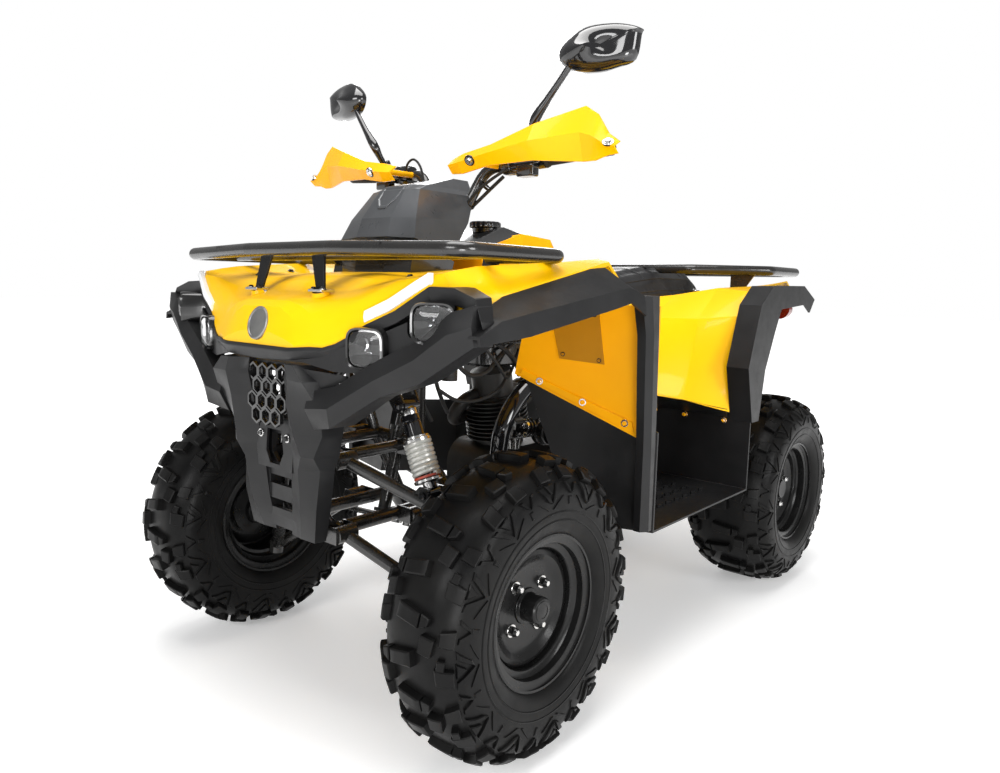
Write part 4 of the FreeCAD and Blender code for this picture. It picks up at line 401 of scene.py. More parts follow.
tyreSizes = {
    # half section: share of the half width, share of the carcass's radius
    "sectionShares": [(0.0, 1.0), (0.26, 0.998), (0.50, 0.985), (0.70, 0.955), (0.84, 0.915), (0.94, 0.865),
                      (0.985, 0.80), (1.0, 0.73), (0.985, 0.66), (0.94, 0.60), (0.88, 0.555), (0.82, 0.535)],
    "lugHeight": 0.0145, "shoulderHeight": 0.012, "wallHeight": 0.005, "ribHeight": 0.0022,
    "repeats": 12, "steps": 120, "chamfer": 0.0016,
}

# Lugs of one repeat on one side: four corners as (share along the half section, degrees), height,
# and how often each way it bends with the carcass.
lugPlan = [
    # long bar over the crown and its short block past the slot
    ([(-0.100, 15.6), (0.140, 14.2), (0.148, 19.0), (-0.088, 20.8)], "lugHeight", (4, 1)),
    ([(0.158, 14.3), (0.222, 15.4), (0.236, 18.2), (0.166, 19.2)], "lugHeight", (1, 1)),
    # kidney knob
    ([(0.165, 6.6), (0.268, 5.6), (0.292, 11.6), (0.182, 12.6)], "lugHeight", (2, 1)),
    # hooked shoulder block
    ([(0.305, -4.2), (0.440, -5.4), (0.446, 0.6), (0.296, 1.6)], "shoulderHeight", (3, 1)),
    ([(0.310, 1.2), (0.372, 0.9), (0.378, 4.6), (0.322, 4.9)], "shoulderHeight", (1, 1)),
    # shoulder block between
    ([(0.322, 9.8), (0.438, 9.0), (0.446, 15.4), (0.330, 14.4)], "shoulderHeight", (3, 1)),
    # V on the side wall, from its tip up to the shoulder
    ([(0.462, -7.6), (0.470, -4.6), (0.640, 0.0), (0.610, -2.9)], "wallHeight", (1, 3)),
    ([(0.470, 4.6), (0.462, 7.6), (0.610, 2.9), (0.640, 0.0)], "wallHeight", (1, 3)),
    ([(0.462, -3.0), (0.462, 3.0), (0.552, 0.3), (0.552, -0.3)], "wallHeight", (1, 2)),
    # small arrow between
    ([(0.468, 10.4), (0.474, 12.4), (0.575, 15.0), (0.560, 13.6)], "wallHeight", (1, 2)),
    ([(0.474, 17.6), (0.468, 19.6), (0.560, 16.4), (0.575, 15.0)], "wallHeight", (1, 2)),
    # fine ribs below
    ([(0.590, -9.8), (0.600, -8.8), (0.700, -1.0), (0.700, -2.6)], "ribHeight", (1, 3)),
    ([(0.600, 8.8), (0.590, 9.8), (0.700, 2.6), (0.700, 1.0)], "ribHeight", (1, 3)),
    ([(0.600, 13.8), (0.600, 16.2), (0.680, 15.6), (0.680, 14.4)], "ribHeight", (1, 2)),
]


def sectionOf(halfWidth, radius):
    spots = smoothLine([(x * halfWidth, r * radius, 0) for x, r in tyreSizes["sectionShares"]], 4)
    lengths = [0]
    for low, high in zip(spots, spots[1:]):
        lengths.append(lengths[-1] + (high - low).length)
    return spots, [length / lengths[-1] for length in lengths]


def onCarcass(section, centre, share, degrees, height):
    spots, shares = section
    sign = 1 if share >= 0 else -1
    share = min(abs(share), 0.999)
    i = next(k for k in range(1, len(shares)) if shares[k] >= share)
    local = (share - shares[i - 1]) / (shares[i] - shares[i - 1])
    spot = spots[i - 1].lerp(spots[i], local)
    along = (spots[min(i + 1, len(spots) - 1)] - spots[max(i - 2, 0)]).normalized()
    normal = Vector((-along.y, along.x, 0))
    if normal.y < 0 and share < 0.5:
        normal = -normal
    spot = spot + normal * height
    turn = math.radians(degrees)
    return centre + Vector((sign * spot.x, -spot.y * math.cos(turn), spot.y * math.sin(turn)))


def layLug(bm, section, centre, corners, height, cuts, side, turn):
    across, along = cuts
    middle = Vector((sum(c[0] for c in corners) / 4, sum(c[1] for c in corners) / 4))
    circle = section[0][0].y

    def at(u, v, shrink, lift):
        low = Vector(corners[0]).lerp(Vector(corners[1]), u)
        high = Vector(corners[3]).lerp(Vector(corners[2]), u)
        spot = low.lerp(high, v)
        spot = middle + (spot - middle) * shrink
        return onCarcass(section, centre, side * spot.x, spot.y + turn, lift)

    reach = abs(corners[2][1] - corners[0][1]) / 2 * math.radians(1) * circle
    inset = 1 - tyreSizes["chamfer"] / max(reach, 0.006)
    rows = [[at(i / across, j / along, inset, height) for j in range(along + 1)] for i in range(across + 1)]
    grid = [[bm.verts.new(p) for p in row] for row in rows]
    for i in range(across):
        for j in range(along):
            bm.faces.new((grid[i][j], grid[i + 1][j], grid[i + 1][j + 1], grid[i][j + 1]))
    rim = [(i, 0) for i in range(across)] + [(across, j) for j in range(along)]
    rim += [(i, along) for i in range(across, 0, -1)] + [(0, j) for j in range(along, 0, -1)]
    rings = [[grid[i][j] for i, j in rim]]
    for shrink, lift in ((1.0, height - tyreSizes["chamfer"]), (1.06, -0.002)):
        rings.append([bm.verts.new(at(i / across, j / along, shrink, lift)) for i, j in rim])
    for upper, lower in zip(rings, rings[1:]):
        for i in range(len(upper)):
            j = (i + 1) % len(upper)
            bm.faces.new((upper[i], lower[i], lower[j], upper[j]))


def makeTyre(nodeName, body):
    low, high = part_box(nodeName)
    centre = (low + high) / 2
    radius = (high.z - low.z) / 2 - tyreSizes["lugHeight"]
    halfWidth = (high.x - low.x) / 2
    section = sectionOf(halfWidth, radius)
    spots = section[0]
    bm = bmesh.new()
    profile = [(p.y, -p.x) for p in spots[::-1]] + [(p.y, p.x) for p in spots[1:]]
    bead = spots[-1]
    profile = [(bead.y - 0.008, -bead.x + 0.012)] + profile + [(bead.y - 0.008, bead.x - 0.012)]
    addTurned(bm, profile, centre, (1, 0, 0), tyreSizes["steps"])
    for ring in (0.745, 0.83):
        spot = onCarcass(section, Vector((0, 0, 0)), ring, 0, 0)
        for side in (-1, 1):
            rim = [centre + Vector((side * (spot.x - 0.0008), -spot.y * math.cos(a), -spot.y * math.sin(a)))
                   for a in (math.tau * k / 96 for k in range(96))]
            addLoft(bm, ringsAlong(rim, 0.0022, 6, True), closed=True)
    step = 360 / tyreSizes["repeats"]
    outward = 1 if centre.x > 0 else -1
    for repeat in range(tyreSizes["repeats"]):
        for side in (-1, 1):
            start = repeat * step + (0 if side == outward else step / 2) - 4
            for corners, height, cuts in lugPlan:
                layLug(bm, section, centre, corners, tyreSizes[height], cuts, side, start)
    return makePiece(nodeName + "_tread", bm, body, "rubber", [nodeName], 28)


rimSizes = {
    # outer half of the rim as (radius, share of its half width), from the lip inwards
    "barrel": [(0.1435, 0.985), (0.1450, 0.965), (0.1450, 0.93), (0.1405, 0.90), (0.1340, 0.89), (0.1300, 0.87),
               (0.1290, 0.70), (0.1255, 0.66), (0.1180, 0.63), (0.1165, 0.60), (0.1160, 0.44), (0.1130, 0.40),
               (0.1060, 0.385)],
    "wall": 0.0045, "nutCircle": 0.055, "nutRadius": 0.0085, "steps": 96,
}


def makeRim(nodeName, body, discShare):
    low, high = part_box(nodeName)
    centre = (low + high) / 2
    half = (high.x - low.x) / 2
    out = 1 if centre.x > 0 else -1
    wall = rimSizes["wall"]
    barrel = [(radius, share * half) for radius, share in rimSizes["barrel"]]
    inner = [(radius, -share * half) for radius, share in rimSizes["barrel"][::-1]]
    disc = discShare * half
    bm = bmesh.new()
    loop = barrel + inner
    back = [(radius - wall if radius > 0.11 else radius - wall, along) for radius, along in loop[::-1]]
    addTurned(bm, [(r, a) for r, a in loop + back + loop[:1]], centre, (out, 0, 0), rimSizes["steps"])
    dish = [(0.113, disc + 0.004), (0.106, disc + 0.010), (0.098, disc + 0.012), (0.088, disc + 0.006),
            (0.080, disc + 0.001), (0.072, disc), (0.034, disc), (0.034, disc - wall), (0.072, disc - wall),
            (0.081, disc - wall + 0.001), (0.089, disc + 0.001), (0.098, disc + 0.007), (0.107, disc + 0.005),
            (0.113, disc - 0.001), (0.113, disc + 0.004)]
    addTurned(bm, dish, centre, (out, 0, 0), rimSizes["steps"])
    return makePiece(nodeName + "_steel", bm, body, "blackSteel", [nodeName], 26)


wheelSet = [
    ("front_tyre_left", "front_rim_left", "wheel_fl", 0.37), ("front_tyre_right", "front_rim_right", "wheel_fr", 0.37),
    ("rear_tyre_left", "rear_rim_left", "rear_axle_set", 0.48), ("rear_tyre_right", "rear_rim_right", "rear_axle_set", 0.48),
]
for tyreName, rimName, body, discShare in wheelSet:
    makeTyre(tyreName, body)
    makeRim(rimName, body, discShare)
print("stage: tyres and rims")


def makeHub(side, nodeName, body):
    low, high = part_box(nodeName)
    rimLow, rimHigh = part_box("front_rim_left" if side > 0 else "front_rim_right")
    axle = (rimLow + rimHigh) / 2
    face = 0.453 * side
    bm = bmesh.new()
    middle = Vector((face, axle.y, axle.z))
    cap = [(0.0, 0.0395), (0.012, 0.0392), (0.0225, 0.0375), (0.0255, 0.034), (0.0262, 0.004), (0.0335, 0.003),
           (0.0335, -0.010), (0.0, -0.010)]
    addTurned(bm, cap, middle, (side, 0, 0), 40, 0)
    addTurned(bm, [(0.013, 0.0400), (0.0195, 0.0393), (0.0200, 0.0380), (0.0125, 0.0385), (0.013, 0.0400)],
              middle, (side, 0, 0), 40, 0)
    flange = [(0.0, -0.012), (0.067, -0.012), (0.068, -0.020), (0.040, -0.026), (0.038, -0.040), (0.0, -0.040)]
    addTurned(bm, flange, middle, (side, 0, 0), 40, 0)
    for k in range(4):
        angle = math.radians(90 * k + 38)
        spot = middle + Vector((0, math.cos(angle), math.sin(angle))) * rimSizes["nutCircle"]
        out = Vector((side, 0, 0))
        addRod(bm, spot - out * 0.004, spot + out * 0.0025, 0.0125, 1, 24)
        addRod(bm, spot, spot + out * 0.0115, 0.0088, 1, 6)
        addRod(bm, spot + out * 0.0115, spot + out * 0.0165, 0.0088, 1, 20, 0.0052)
    bmesh.ops.recalc_face_normals(bm, faces=bm.faces)
    makePiece(nodeName + "_dressed", bm, body, "blackSteel brightSteel", [nodeName], 30, 0.0006, 1)


makeHub(1, "front_hub_left", "wheel_fl")
makeHub(-1, "front_hub_right", "wheel_fr")
print("stage: hubs")


# Shocks: coil, seats, damper and eyes on the solids' own line

shockSizes = {"wire": 0.0052, "coil": 0.0235, "turns": 7.2, "eye": 0.015}
frontShock = {"foot": (0.250, -0.642, 0.462), "head": (0.175, -0.642, 0.626), "out": (0, 1, 0)}
rearShock = {"foot": (0.0, 0.4815, 0.360), "head": (0.0, 0.335, 0.696), "out": (1, 0, 0)}


def addShock(bm, places):
    foot = Vector(places["foot"])
    head = Vector(places["head"])
    out = Vector(places["out"])
    along = (head - foot).normalized()
    length = (head - foot).length
    eye = shockSizes["eye"]

    def at(share):
        return foot + along * length * share

    for spot, place in ((foot, 0), (head, 0)):
        addRod(bm, spot - out * 0.0168, spot + out * 0.0168, eye * 0.96, place, 28)
        addRod(bm, spot - out * 0.0172, spot + out * 0.0172, eye * 0.62, 3, 24)
        addBolt(bm, spot - out * 0.0215, -out, 0.0085, 3)
        addBolt(bm, spot + out * 0.0215, out, 0.0085, 3)
    addRod(bm, at(0.06), at(0.16), 0.0135, 0, 24)
    addTurned(bm, [(0.009, 0), (0.026, 0.001), (0.0285, 0.003), (0.0285, 0.0075), (0.025, 0.009), (0.009, 0.009)],
              at(0.125), along, 40, 2)
    addTurned(bm, [(0.009, 0), (0.0265, 0.0005), (0.0265, 0.005), (0.009, 0.0055)], at(0.177), along, 40, 4)
    addRod(bm, at(0.10), at(0.60), 0.0075, 3, 20)
    addRod(bm, at(0.20), at(0.34), 0.0145, 0, 24, 0.013)
    addHelix(bm, at(0.205), at(0.575), shockSizes["coil"], shockSizes["wire"], shockSizes["turns"], 1)
    addTurned(bm, [(0.017, 0), (0.0285, 0.0005), (0.0288, 0.006), (0.026, 0.0075), (0.026, 0.011), (0.0195, 0.0125),
                   (0.017, 0.0125)], at(0.575), along, 40, 2)
    addTurned(bm, [(0.0, 0.0), (0.0185, 0.0005), (0.0188, 0.030), (0.0176, 0.0315), (0.0176, 0.034), (0.0188, 0.0355),
                   (0.0188, 0.046), (0.0, 0.0465)], at(0.625), along, 40, 0)
    addTurned(bm, [(0.0, 0.0), (0.0165, 0.0), (0.0172, 0.004), (0.0172, 0.012), (0.0135, 0.0165), (0.0, 0.0168)],
              at(0.885), along, 36, 2)


bm = bmesh.new()
addShock(bm, frontShock)
mirrorMesh(bm)
makePiece("front_shocks_coils", bm, "chassis", "glossBlack springSteel brightSteel blackSteel redRing",
          ["front_shocks"], 30)
bm = bmesh.new()
addShock(bm, rearShock)
makePiece("rear_shock_coil", bm, "chassis", "glossBlack springSteel brightSteel blackSteel redRing",
          ["rear_shock"], 30)
print("stage: shocks")


# Nuts of the rear wheels

bm = bmesh.new()
axleLow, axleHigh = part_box("rear_axle")
axleMiddle = (axleLow + axleHigh) / 2
for side in (1, -1):
    for k in range(4):
        angle = math.radians(90 * k + 20)
        spot = Vector((side * 0.4565, axleMiddle.y, axleMiddle.z))
        spot += Vector((0, math.cos(angle), math.sin(angle))) * rimSizes["nutCircle"]
        out = Vector((side, 0, 0))
        addRod(bm, spot - out * 0.002, spot + out * 0.002, 0.0125, 0, 24)
        addRod(bm, spot, spot + out * 0.011, 0.0088, 0, 6)
        addRod(bm, spot + out * 0.011, spot + out * 0.016, 0.0088, 0, 20, 0.0052)
makePiece("rear_wheel_nuts", bm, "rear_axle_set", "brightSteel", (), 30)


# Ball joints

ballPlaces = [((0.350, -0.598, 0.203), 1), ((0.325, -0.590, 0.392), -1)]
bm = bmesh.new()
for spot, turn in ballPlaces:
    spot = Vector(spot)
    up = Vector((-0.13, 0.04, 0.99)) * turn
    addTurned(bm, [(0.0, -0.017), (0.014, -0.0165), (0.0175, -0.012), (0.0175, 0.006), (0.0145, 0.009),
                   (0.0155, 0.012), (0.0125, 0.015), (0.0135, 0.018), (0.0095, 0.021), (0.0, 0.021)], spot, up, 28)
mirrorMesh(bm)
makePiece("ball_joints", bm, "chassis", "blackSteel", (), 30)


# Panels: copies of the solids with softened edges

panelCopies = {
    # node: finish, bevel width, segments, sharpest angle that stays smooth
    "hood": ("glossYellow", 0.0042, 3, 14),
    "front_bumper": ("blackPlastic", 0.0026, 2, 14),
    "front_flares": ("blackPlastic", 0.0025, 2, 14),
    # the arch panels are the hood's yellow plastic; their deepYellow is painted shade for lying under the flare
    "arch_panels": ("deepYellow", 0.0025, 2, 16),
    "footwells": ("blackPlastic", 0.0025, 2, 16),
    "rear_fender": ("glossYellow", 0.0040, 3, 14),
    "rear_flares": ("blackPlastic", 0.0025, 2, 14),
    "tank_cover": ("deepYellow", 0.006, 3, 14),
    "console_pod": ("silverPlastic", 0.0036, 3, 14),
    "handguards": ("guardYellow", 0.0060, 3, 12),
    "front_rack": ("paintedFrame", 0.0012, 2, 28),
    "rear_rack": ("paintedFrame", 0.0012, 2, 28),
}


def softenedCopy(nodeName, finishName, width, segments, angle):
    source = nodes[nodeName]
    bm = bmesh.new()
    bm.from_mesh(source.data)
    bmesh.ops.remove_doubles(bm, verts=bm.verts, dist=0.00005)
    bmesh.ops.dissolve_limit(bm, angle_limit=math.radians(0.6), verts=bm.verts, edges=bm.edges)
    for face in bm.faces:
        face.material_index = 0
    return makePiece(nodeName + "_soft", bm, source["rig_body"], finishName, [nodeName], angle, width, segments, True)


panels = {}
for nodeName, (finishName, width, segments, angle) in panelCopies.items():
    panels[nodeName] = softenedCopy(nodeName, finishName, width, segments, angle)
print("stage: panels softened")


# Faces of a panel that have another colour, told by where they lie


def repaint(piece, finishName, belongs):
    piece.data.materials.append(finishes[finishName])
    place = len(piece.data.materials) - 1
    for face in piece.data.polygons:
        if belongs(face.center, face.normal):
            face.material_index = place


tankBand = {"low": 0.955, "wide": 0.105}
repaint(panels["tank_cover"], "lampBlack",
        lambda spot, out: spot.z > tankBand["low"] and abs(spot.x) < tankBand["wide"] and out.z > 0.3)


surfaces = {}


def hitOn(nodeName, start, towardsPoint):
    if nodeName not in surfaces:
        mesh = nodes[nodeName].data
        surfaces[nodeName] = BVHTree.FromPolygons([v.co.copy() for v in mesh.vertices],
                                                  [tuple(p.vertices) for p in mesh.polygons])
    reach = Vector(towardsPoint) - Vector(start)
    spot, normal, face, distance = surfaces[nodeName].ray_cast(Vector(start), reach.normalized(), reach.length)
    return (spot, normal) if spot else (Vector(towardsPoint), -reach.normalized())


def topOf(nodeName, x, y, drop=0.5):
    return hitOn(nodeName, (x, y, 1.2), (x, y, 1.2 - drop))

# Camera of the photograph, and what it sees on a node at a place in the picture

cameraSizes = {"place": (1.2796, -1.6564, 0.8640), "yaw": 40.44, "pitch": 7.5, "roll": 1.3, "lens": 27.57,
               "sensor": 36, "wide": 1000, "tall": 773}
yaw, pitch, roll = (math.radians(cameraSizes[k]) for k in ("yaw", "pitch", "roll"))
cameraBack = Vector((math.sin(yaw) * math.cos(pitch), -math.cos(yaw) * math.cos(pitch), math.sin(pitch)))
levelRight = Vector((math.cos(yaw), math.sin(yaw), 0))
levelUp = cameraBack.cross(levelRight)
cameraRight = levelRight * math.cos(roll) + levelUp * math.sin(roll)
cameraUp = levelUp * math.cos(roll) - levelRight * math.sin(roll)


def sightLine(across, down, reach=6.0):
    focal = cameraSizes["lens"] / cameraSizes["sensor"] * cameraSizes["wide"]
    line = (cameraRight * (across - cameraSizes["wide"] / 2) / focal
            + cameraUp * (cameraSizes["tall"] / 2 - down) / focal - cameraBack)
    return Vector(cameraSizes["place"]) + line * reach


def seenOn(nodeName, across, down):
    return hitOn(nodeName, cameraSizes["place"], sightLine(across, down))



# Front face: badge disc, hex grille in two layers and light strips

badge = {"spot": (0.0, -0.8545, 0.785), "radius": 0.0275}
bm = bmesh.new()
spot, out = hitOn("hood", (0, -1.1, badge["spot"][2]), (0, -0.7, badge["spot"][2]))
ring = [(0.0, -0.004), (badge["radius"] * 1.16, -0.004), (badge["radius"] * 1.16, 0.0016),
        (badge["radius"] * 1.08, 0.0034), (badge["radius"], 0.0034), (badge["radius"] * 0.965, 0.0012), (0.0, 0.0022)]
addTurned(bm, ring, spot, out, 56)
makePiece("badge_disc", bm, "chassis", "castAlloy", (), 26)

grilleSizes = {"cell": 0.0185, "bar": 0.0046, "depth": 0.008, "backCell": 0.0092, "backBar": 0.0016,
               "low": 0.606, "high": 0.692}


def grilleOutline(z):
    share = (z - grilleSizes["low"]) / (grilleSizes["high"] - grilleSizes["low"])
    return 0.052 + 0.020 * share


def addHexNet(bm, cell, bar, depthY, thickness, slope, place):
    rise = cell * 1.5
    run = cell * math.sqrt(3)
    row = 0
    z = grilleSizes["low"]
    while z < grilleSizes["high"]:
        half = grilleOutline(z) - cell * 0.5
        shift = run / 2 if row % 2 else 0
        count = int(half / run) + 1
        for k in range(-count, count + 1):
            x = k * run + shift
            if abs(x) > half:
                continue
            y = depthY + slope * (z - grilleSizes["low"])
            corners = [Vector((x + math.sin(a) * cell, y, z + math.cos(a) * cell))
                       for a in (math.tau * i / 6 for i in range(6))]
            inner = [Vector((x, y, z)) + (c - Vector((x, y, z))) * (1 - bar / cell) for c in corners]
            back = Vector((0, thickness, 0))
            addLoft(bm, [corners, inner, [p + back for p in inner], [p + back for p in corners]], place, False, True)
        z += rise
        row += 1


bm = bmesh.new()
addHexNet(bm, grilleSizes["cell"], grilleSizes["bar"], -0.846, grilleSizes["depth"], 0.06, 0)
addHexNet(bm, grilleSizes["backCell"], grilleSizes["backBar"], -0.832, 0.002, 0.06, 0)
makePiece("grille_mesh", bm, "chassis", "lampBlack", ["grille"], 30)
print("stage: grille")

stripPlan = {"low": [(0.251, -0.812, 0.796), (0.300, -0.800, 0.818), (0.345, -0.783, 0.848), (0.369, -0.774, 0.863)],
             "height": 0.020, "depth": 0.012}
bm = bmesh.new()
rings = []
for x, y, z in stripPlan["low"]:
    tall = stripPlan["height"]
    deep = stripPlan["depth"]
    rings.append([Vector((x, y, z)), Vector((x + 0.002, y - 0.003, z + tall * 0.5)), Vector((x, y, z + tall)),
                  Vector((x, y + deep, z + tall)), Vector((x, y + deep, z))])
addLoft(bm, rings)
mirrorMesh(bm)
makePiece("light_strips", bm, "chassis", "lightStrip", (), 30, 0.001)
print("stage: lamps")


# Lip under the hood's front edge, lamp housings, lamps and the tow plate

lipPlan = {"half": 0.225, "steps": 18, "tall": 0.014, "middleTall": 0.010}


def lowEdge(nodeName, x, high, low, step=0.002):
    z = high
    last = None
    while z > low:
        spot, out = hitOn(nodeName, (x, -1.1, z), (x, -0.70, z))
        if spot[1] > -0.701:
            break
        last = spot
        z -= step
    return last


bm = bmesh.new()
rings = []
for k in range(lipPlan["steps"] + 1):
    x = lipPlan["half"] * (2 * k / lipPlan["steps"] - 1)
    edge = lowEdge("hood", x, 0.800, 0.690)
    if edge is None:
        continue
    tall = lipPlan["tall"] + lipPlan["middleTall"] * (1 - abs(x) / lipPlan["half"])
    rings.append([edge + Vector((0, -0.0035, 0.0035)), edge + Vector((0, -0.0045, -0.004)),
                  edge + Vector((0, 0.004, -tall)), edge + Vector((0, 0.016, -tall)),
                  edge + Vector((0, 0.016, 0.002))])
addLoft(bm, rings)
makePiece("hood_lip", bm, "chassis", "blackPlastic", (), 24, 0.0012)

browPlan = [
    # edge under the hood, how far the brow hangs below it, how deep it goes back
    ((0.222, -0.829, 0.764), 0.014, 0.030), ((0.251, -0.812, 0.792), 0.020, 0.040),
    ((0.310, -0.797, 0.818), 0.022, 0.045), ((0.369, -0.774, 0.860), 0.026, 0.050),
    ((0.425, -0.772, 0.858), 0.028, 0.050), ((0.474, -0.776, 0.843), 0.022, 0.040),
    ((0.492, -0.780, 0.806), 0.012, 0.030),
]
wallPlan = [(0.190, -0.800, 0.728), (0.235, -0.788, 0.775), (0.300, -0.772, 0.812), (0.369, -0.750, 0.858),
            (0.425, -0.746, 0.856), (0.466, -0.748, 0.838), (0.484, -0.752, 0.796), (0.398, -0.757, 0.764),
            (0.321, -0.770, 0.730), (0.255, -0.787, 0.706)]
bm = bmesh.new()
rings = []
for edge, hang, deep in browPlan:
    edge = Vector(edge)
    rings.append([edge, edge + Vector((0, 0.004, -hang)), edge + Vector((0, deep, -hang * 0.5)),
                  edge + Vector((0, deep, 0.002))])
addLoft(bm, rings)
addPrism(bm, wallPlan, (0, 0.005, 0))
mirrorMesh(bm)
makePiece("lamp_housings", bm, "chassis", "blackPlastic", (), 20, 0.0015)

lampPlan = [
    # middle, half width, half height, how far out it is turned
    ((0.262, -0.816, 0.752), 0.034, 0.031, 14), ((0.402, -0.795, 0.801), 0.032, 0.029, 30),
]
lampShell = [(1.20, -0.052), (1.20, 0.000), (1.15, 0.006), (1.05, 0.005), (1.00, -0.004), (0.95, -0.012)]
lampBowl = [(0.95, -0.012), (0.90, -0.020), (0.62, -0.034), (0.20, -0.038)]
lampDome = [(1.00, -0.006), (1.00, 0.001), (0.95, 0.0055), (0.72, 0.0095), (0.30, 0.0115)]


def squaredRing(middle, right, up, out, half, share, back, power=0.5, count=32):
    ring = []
    for k in range(count):
        turn = math.tau * k / count
        across = math.copysign(abs(math.cos(turn)) ** power, math.cos(turn)) * half[0] * share
        high = math.copysign(abs(math.sin(turn)) ** power, math.sin(turn)) * half[1] * share
        ring.append(middle + right * across + up * high + out * back)
    return ring


bm = bmesh.new()
glass = bmesh.new()
for middle, halfWide, halfTall, turned in lampPlan:
    middle = Vector(middle)
    out = Vector((math.sin(math.radians(turned)), -math.cos(math.radians(turned)), 0))
    side = Vector((-out.y, out.x, 0))
    tall = Vector((0, 0, 1))
    half = (halfWide, halfTall)
    for plan, place in ((lampShell, 0), (lampBowl, 2)):
        addLoft(bm, [squaredRing(middle, side, tall, out, half, share, back) for share, back in plan], place)
    for across, high, size in ((-0.36, 0.20, 0.36), (0.36, 0.20, 0.36), (0.0, -0.46, 0.28)):
        spot = middle + side * across * halfWide + tall * high * halfTall
        addTurned(bm, [(halfWide * size, -0.032), (halfWide * size, -0.012), (halfWide * size * 0.86, -0.010),
                       (halfWide * size * 0.5, -0.022), (0.0, -0.024)], spot, out, 28, 1)
        addTurned(bm, [(halfWide * size * 0.40, -0.024), (halfWide * size * 0.36, -0.013), (0.0, -0.010)],
                  spot, out, 20, 2)
    for k in range(7):
        spot = middle + side * (k - 3) * halfWide * 0.26 - tall * halfTall * 0.80 - out * 0.012
        addBlock(bm, spot, (0.0016, 0.008, 0.006), 0)
    addLoft(glass, [squaredRing(middle, side, tall, out, half, share, back) for share, back in lampDome])
mirrorMesh(bm)
mirrorMesh(glass)
makePiece("headlamp_bowls", bm, "chassis", "lampBlack mirrorSilver glossBlack", ["headlamps"], 30)
makePiece("headlamp_lenses", glass, "chassis", "lampGlass", (), 40)

towPlate = {"outer": [(-0.058, 0.604), (-0.063, 0.550), (-0.057, 0.500), (0.057, 0.500), (0.063, 0.550),
                      (0.058, 0.604)],
            "hole": [(-0.024, 0.578), (-0.029, 0.534), (-0.016, 0.510), (0.016, 0.510), (0.029, 0.534),
                     (0.024, 0.578)], "thick": 0.006}
bm = bmesh.new()
face = min(hitOn("front_bumper", (x, -1.1, z), (x, -0.7, z))[0].y
           for x, z in ((0.040, 0.500), (0.045, 0.515), (0.050, 0.530))) - 0.004
back = face + towPlate["thick"]
addLoft(bm, [[Vector((x, y, z)) for x, z in towPlate[name]]
             for name, y in (("outer", face), ("hole", face), ("hole", back), ("outer", back))], 0, False, True)
for x, z in ((-0.044, 0.566), (0.044, 0.566)):
    addBolt(bm, (x, face - 0.001, z), (0, -1, 0), 0.0058, 1)
makePiece("tow_plate", bm, "chassis", "blackPlastic brightSteel", (), 24, 0.0012)

# Feet of the front rack: a tapered plate down to a boss on the hood, and bolts

footPlan = {"x": 0.101, "topX": 0.082, "top": (-0.783, 0.922), "lowWide": 0.012, "highWide": 0.020,
            "thick": 0.005, "level": 0.870}
bm = bmesh.new()
y = -0.85
while topOf("hood", footPlan["x"], y)[0].z < footPlan["level"] and y < -0.79:
    y += 0.003
foot, footOut = topOf("hood", footPlan["x"], y)
top = Vector((footPlan["topX"], *footPlan["top"]))
deep = Vector((0, footPlan["thick"], 0))
low, high = Vector((footPlan["lowWide"], 0, 0)), Vector((footPlan["highWide"], 0, 0))
foot = foot + footOut * 0.008
addLoft(bm, [[foot - low, foot + low, foot + low + deep, foot - low + deep],
             [top - high, top + high, top + high + deep, top - high + deep]])
addRod(bm, foot - footOut * 0.012, foot - footOut * 0.001, 0.019, 1, 28, 0.015)
addBlock(bm, foot + Vector((0.004, 0, 0)), (0.040, 0.030, 0.005), 0)
for shift in (-0.011, 0.017):
    addBolt(bm, foot + Vector((shift, -0.006, 0.002)), (0, 0, 1), 0.0052, 2)
mirrorMesh(bm)
makePiece("front_rack_feet", bm, "chassis", "blackSteel glossYellow brightSteel", (), 24, 0.001)

bm = bmesh.new()
for x, y in ((0.245, -0.455), (0.245, -0.700), (0.330, -0.560), (0.150, -0.430)):
    spot, out = topOf("hood", x, y)
    addBolt(bm, spot, out, 0.0055, 0)
for x in (0.242,):
    addBolt(bm, (x, -0.655, 0.9345), (0, 0, 1), 0.005, 1)
mirrorMesh(bm)
makePiece("hood_bolts", bm, "chassis", "blackSteel brightSteel", (), 26)
print("stage: front face")


# Engine bay: hoses, carburettor, air box, wires

bayHoses = [
    # points, radius, place
    ([(0.150, -0.205, 0.628), (0.150, -0.235, 0.620), (0.152, -0.285, 0.585), (0.150, -0.318, 0.535),
      (0.140, -0.318, 0.485), (0.120, -0.300, 0.440)], 0.0215, 0),
    ([(0.118, -0.500, 0.640), (0.128, -0.450, 0.612), (0.130, -0.380, 0.606), (0.120, -0.300, 0.622),
      (0.105, -0.250, 0.655)], 0.0042, 1),
    ([(0.095, -0.480, 0.735), (0.120, -0.455, 0.700), (0.128, -0.410, 0.665), (0.125, -0.350, 0.668),
      (0.110, -0.280, 0.705), (0.100, -0.220, 0.730)], 0.0052, 1),
    ([(0.080, -0.400, 0.760), (0.118, -0.370, 0.735), (0.135, -0.330, 0.690), (0.130, -0.285, 0.650),
      (0.118, -0.250, 0.668), (0.108, -0.215, 0.712)], 0.0038, 1),
    ([(0.060, -0.350, 0.770), (0.105, -0.320, 0.742), (0.128, -0.285, 0.712), (0.130, -0.250, 0.680),
      (0.115, -0.220, 0.650)], 0.0060, 1),
    ([(0.030, -0.440, 0.760), (0.070, -0.470, 0.715), (0.090, -0.480, 0.660), (0.080, -0.450, 0.610),
      (0.050, -0.400, 0.570)], 0.0048, 1),
    ([(-0.020, -0.460, 0.740), (0.020, -0.500, 0.680), (0.060, -0.500, 0.620), (0.070, -0.470, 0.560)], 0.0044, 1),
]
bm = bmesh.new()
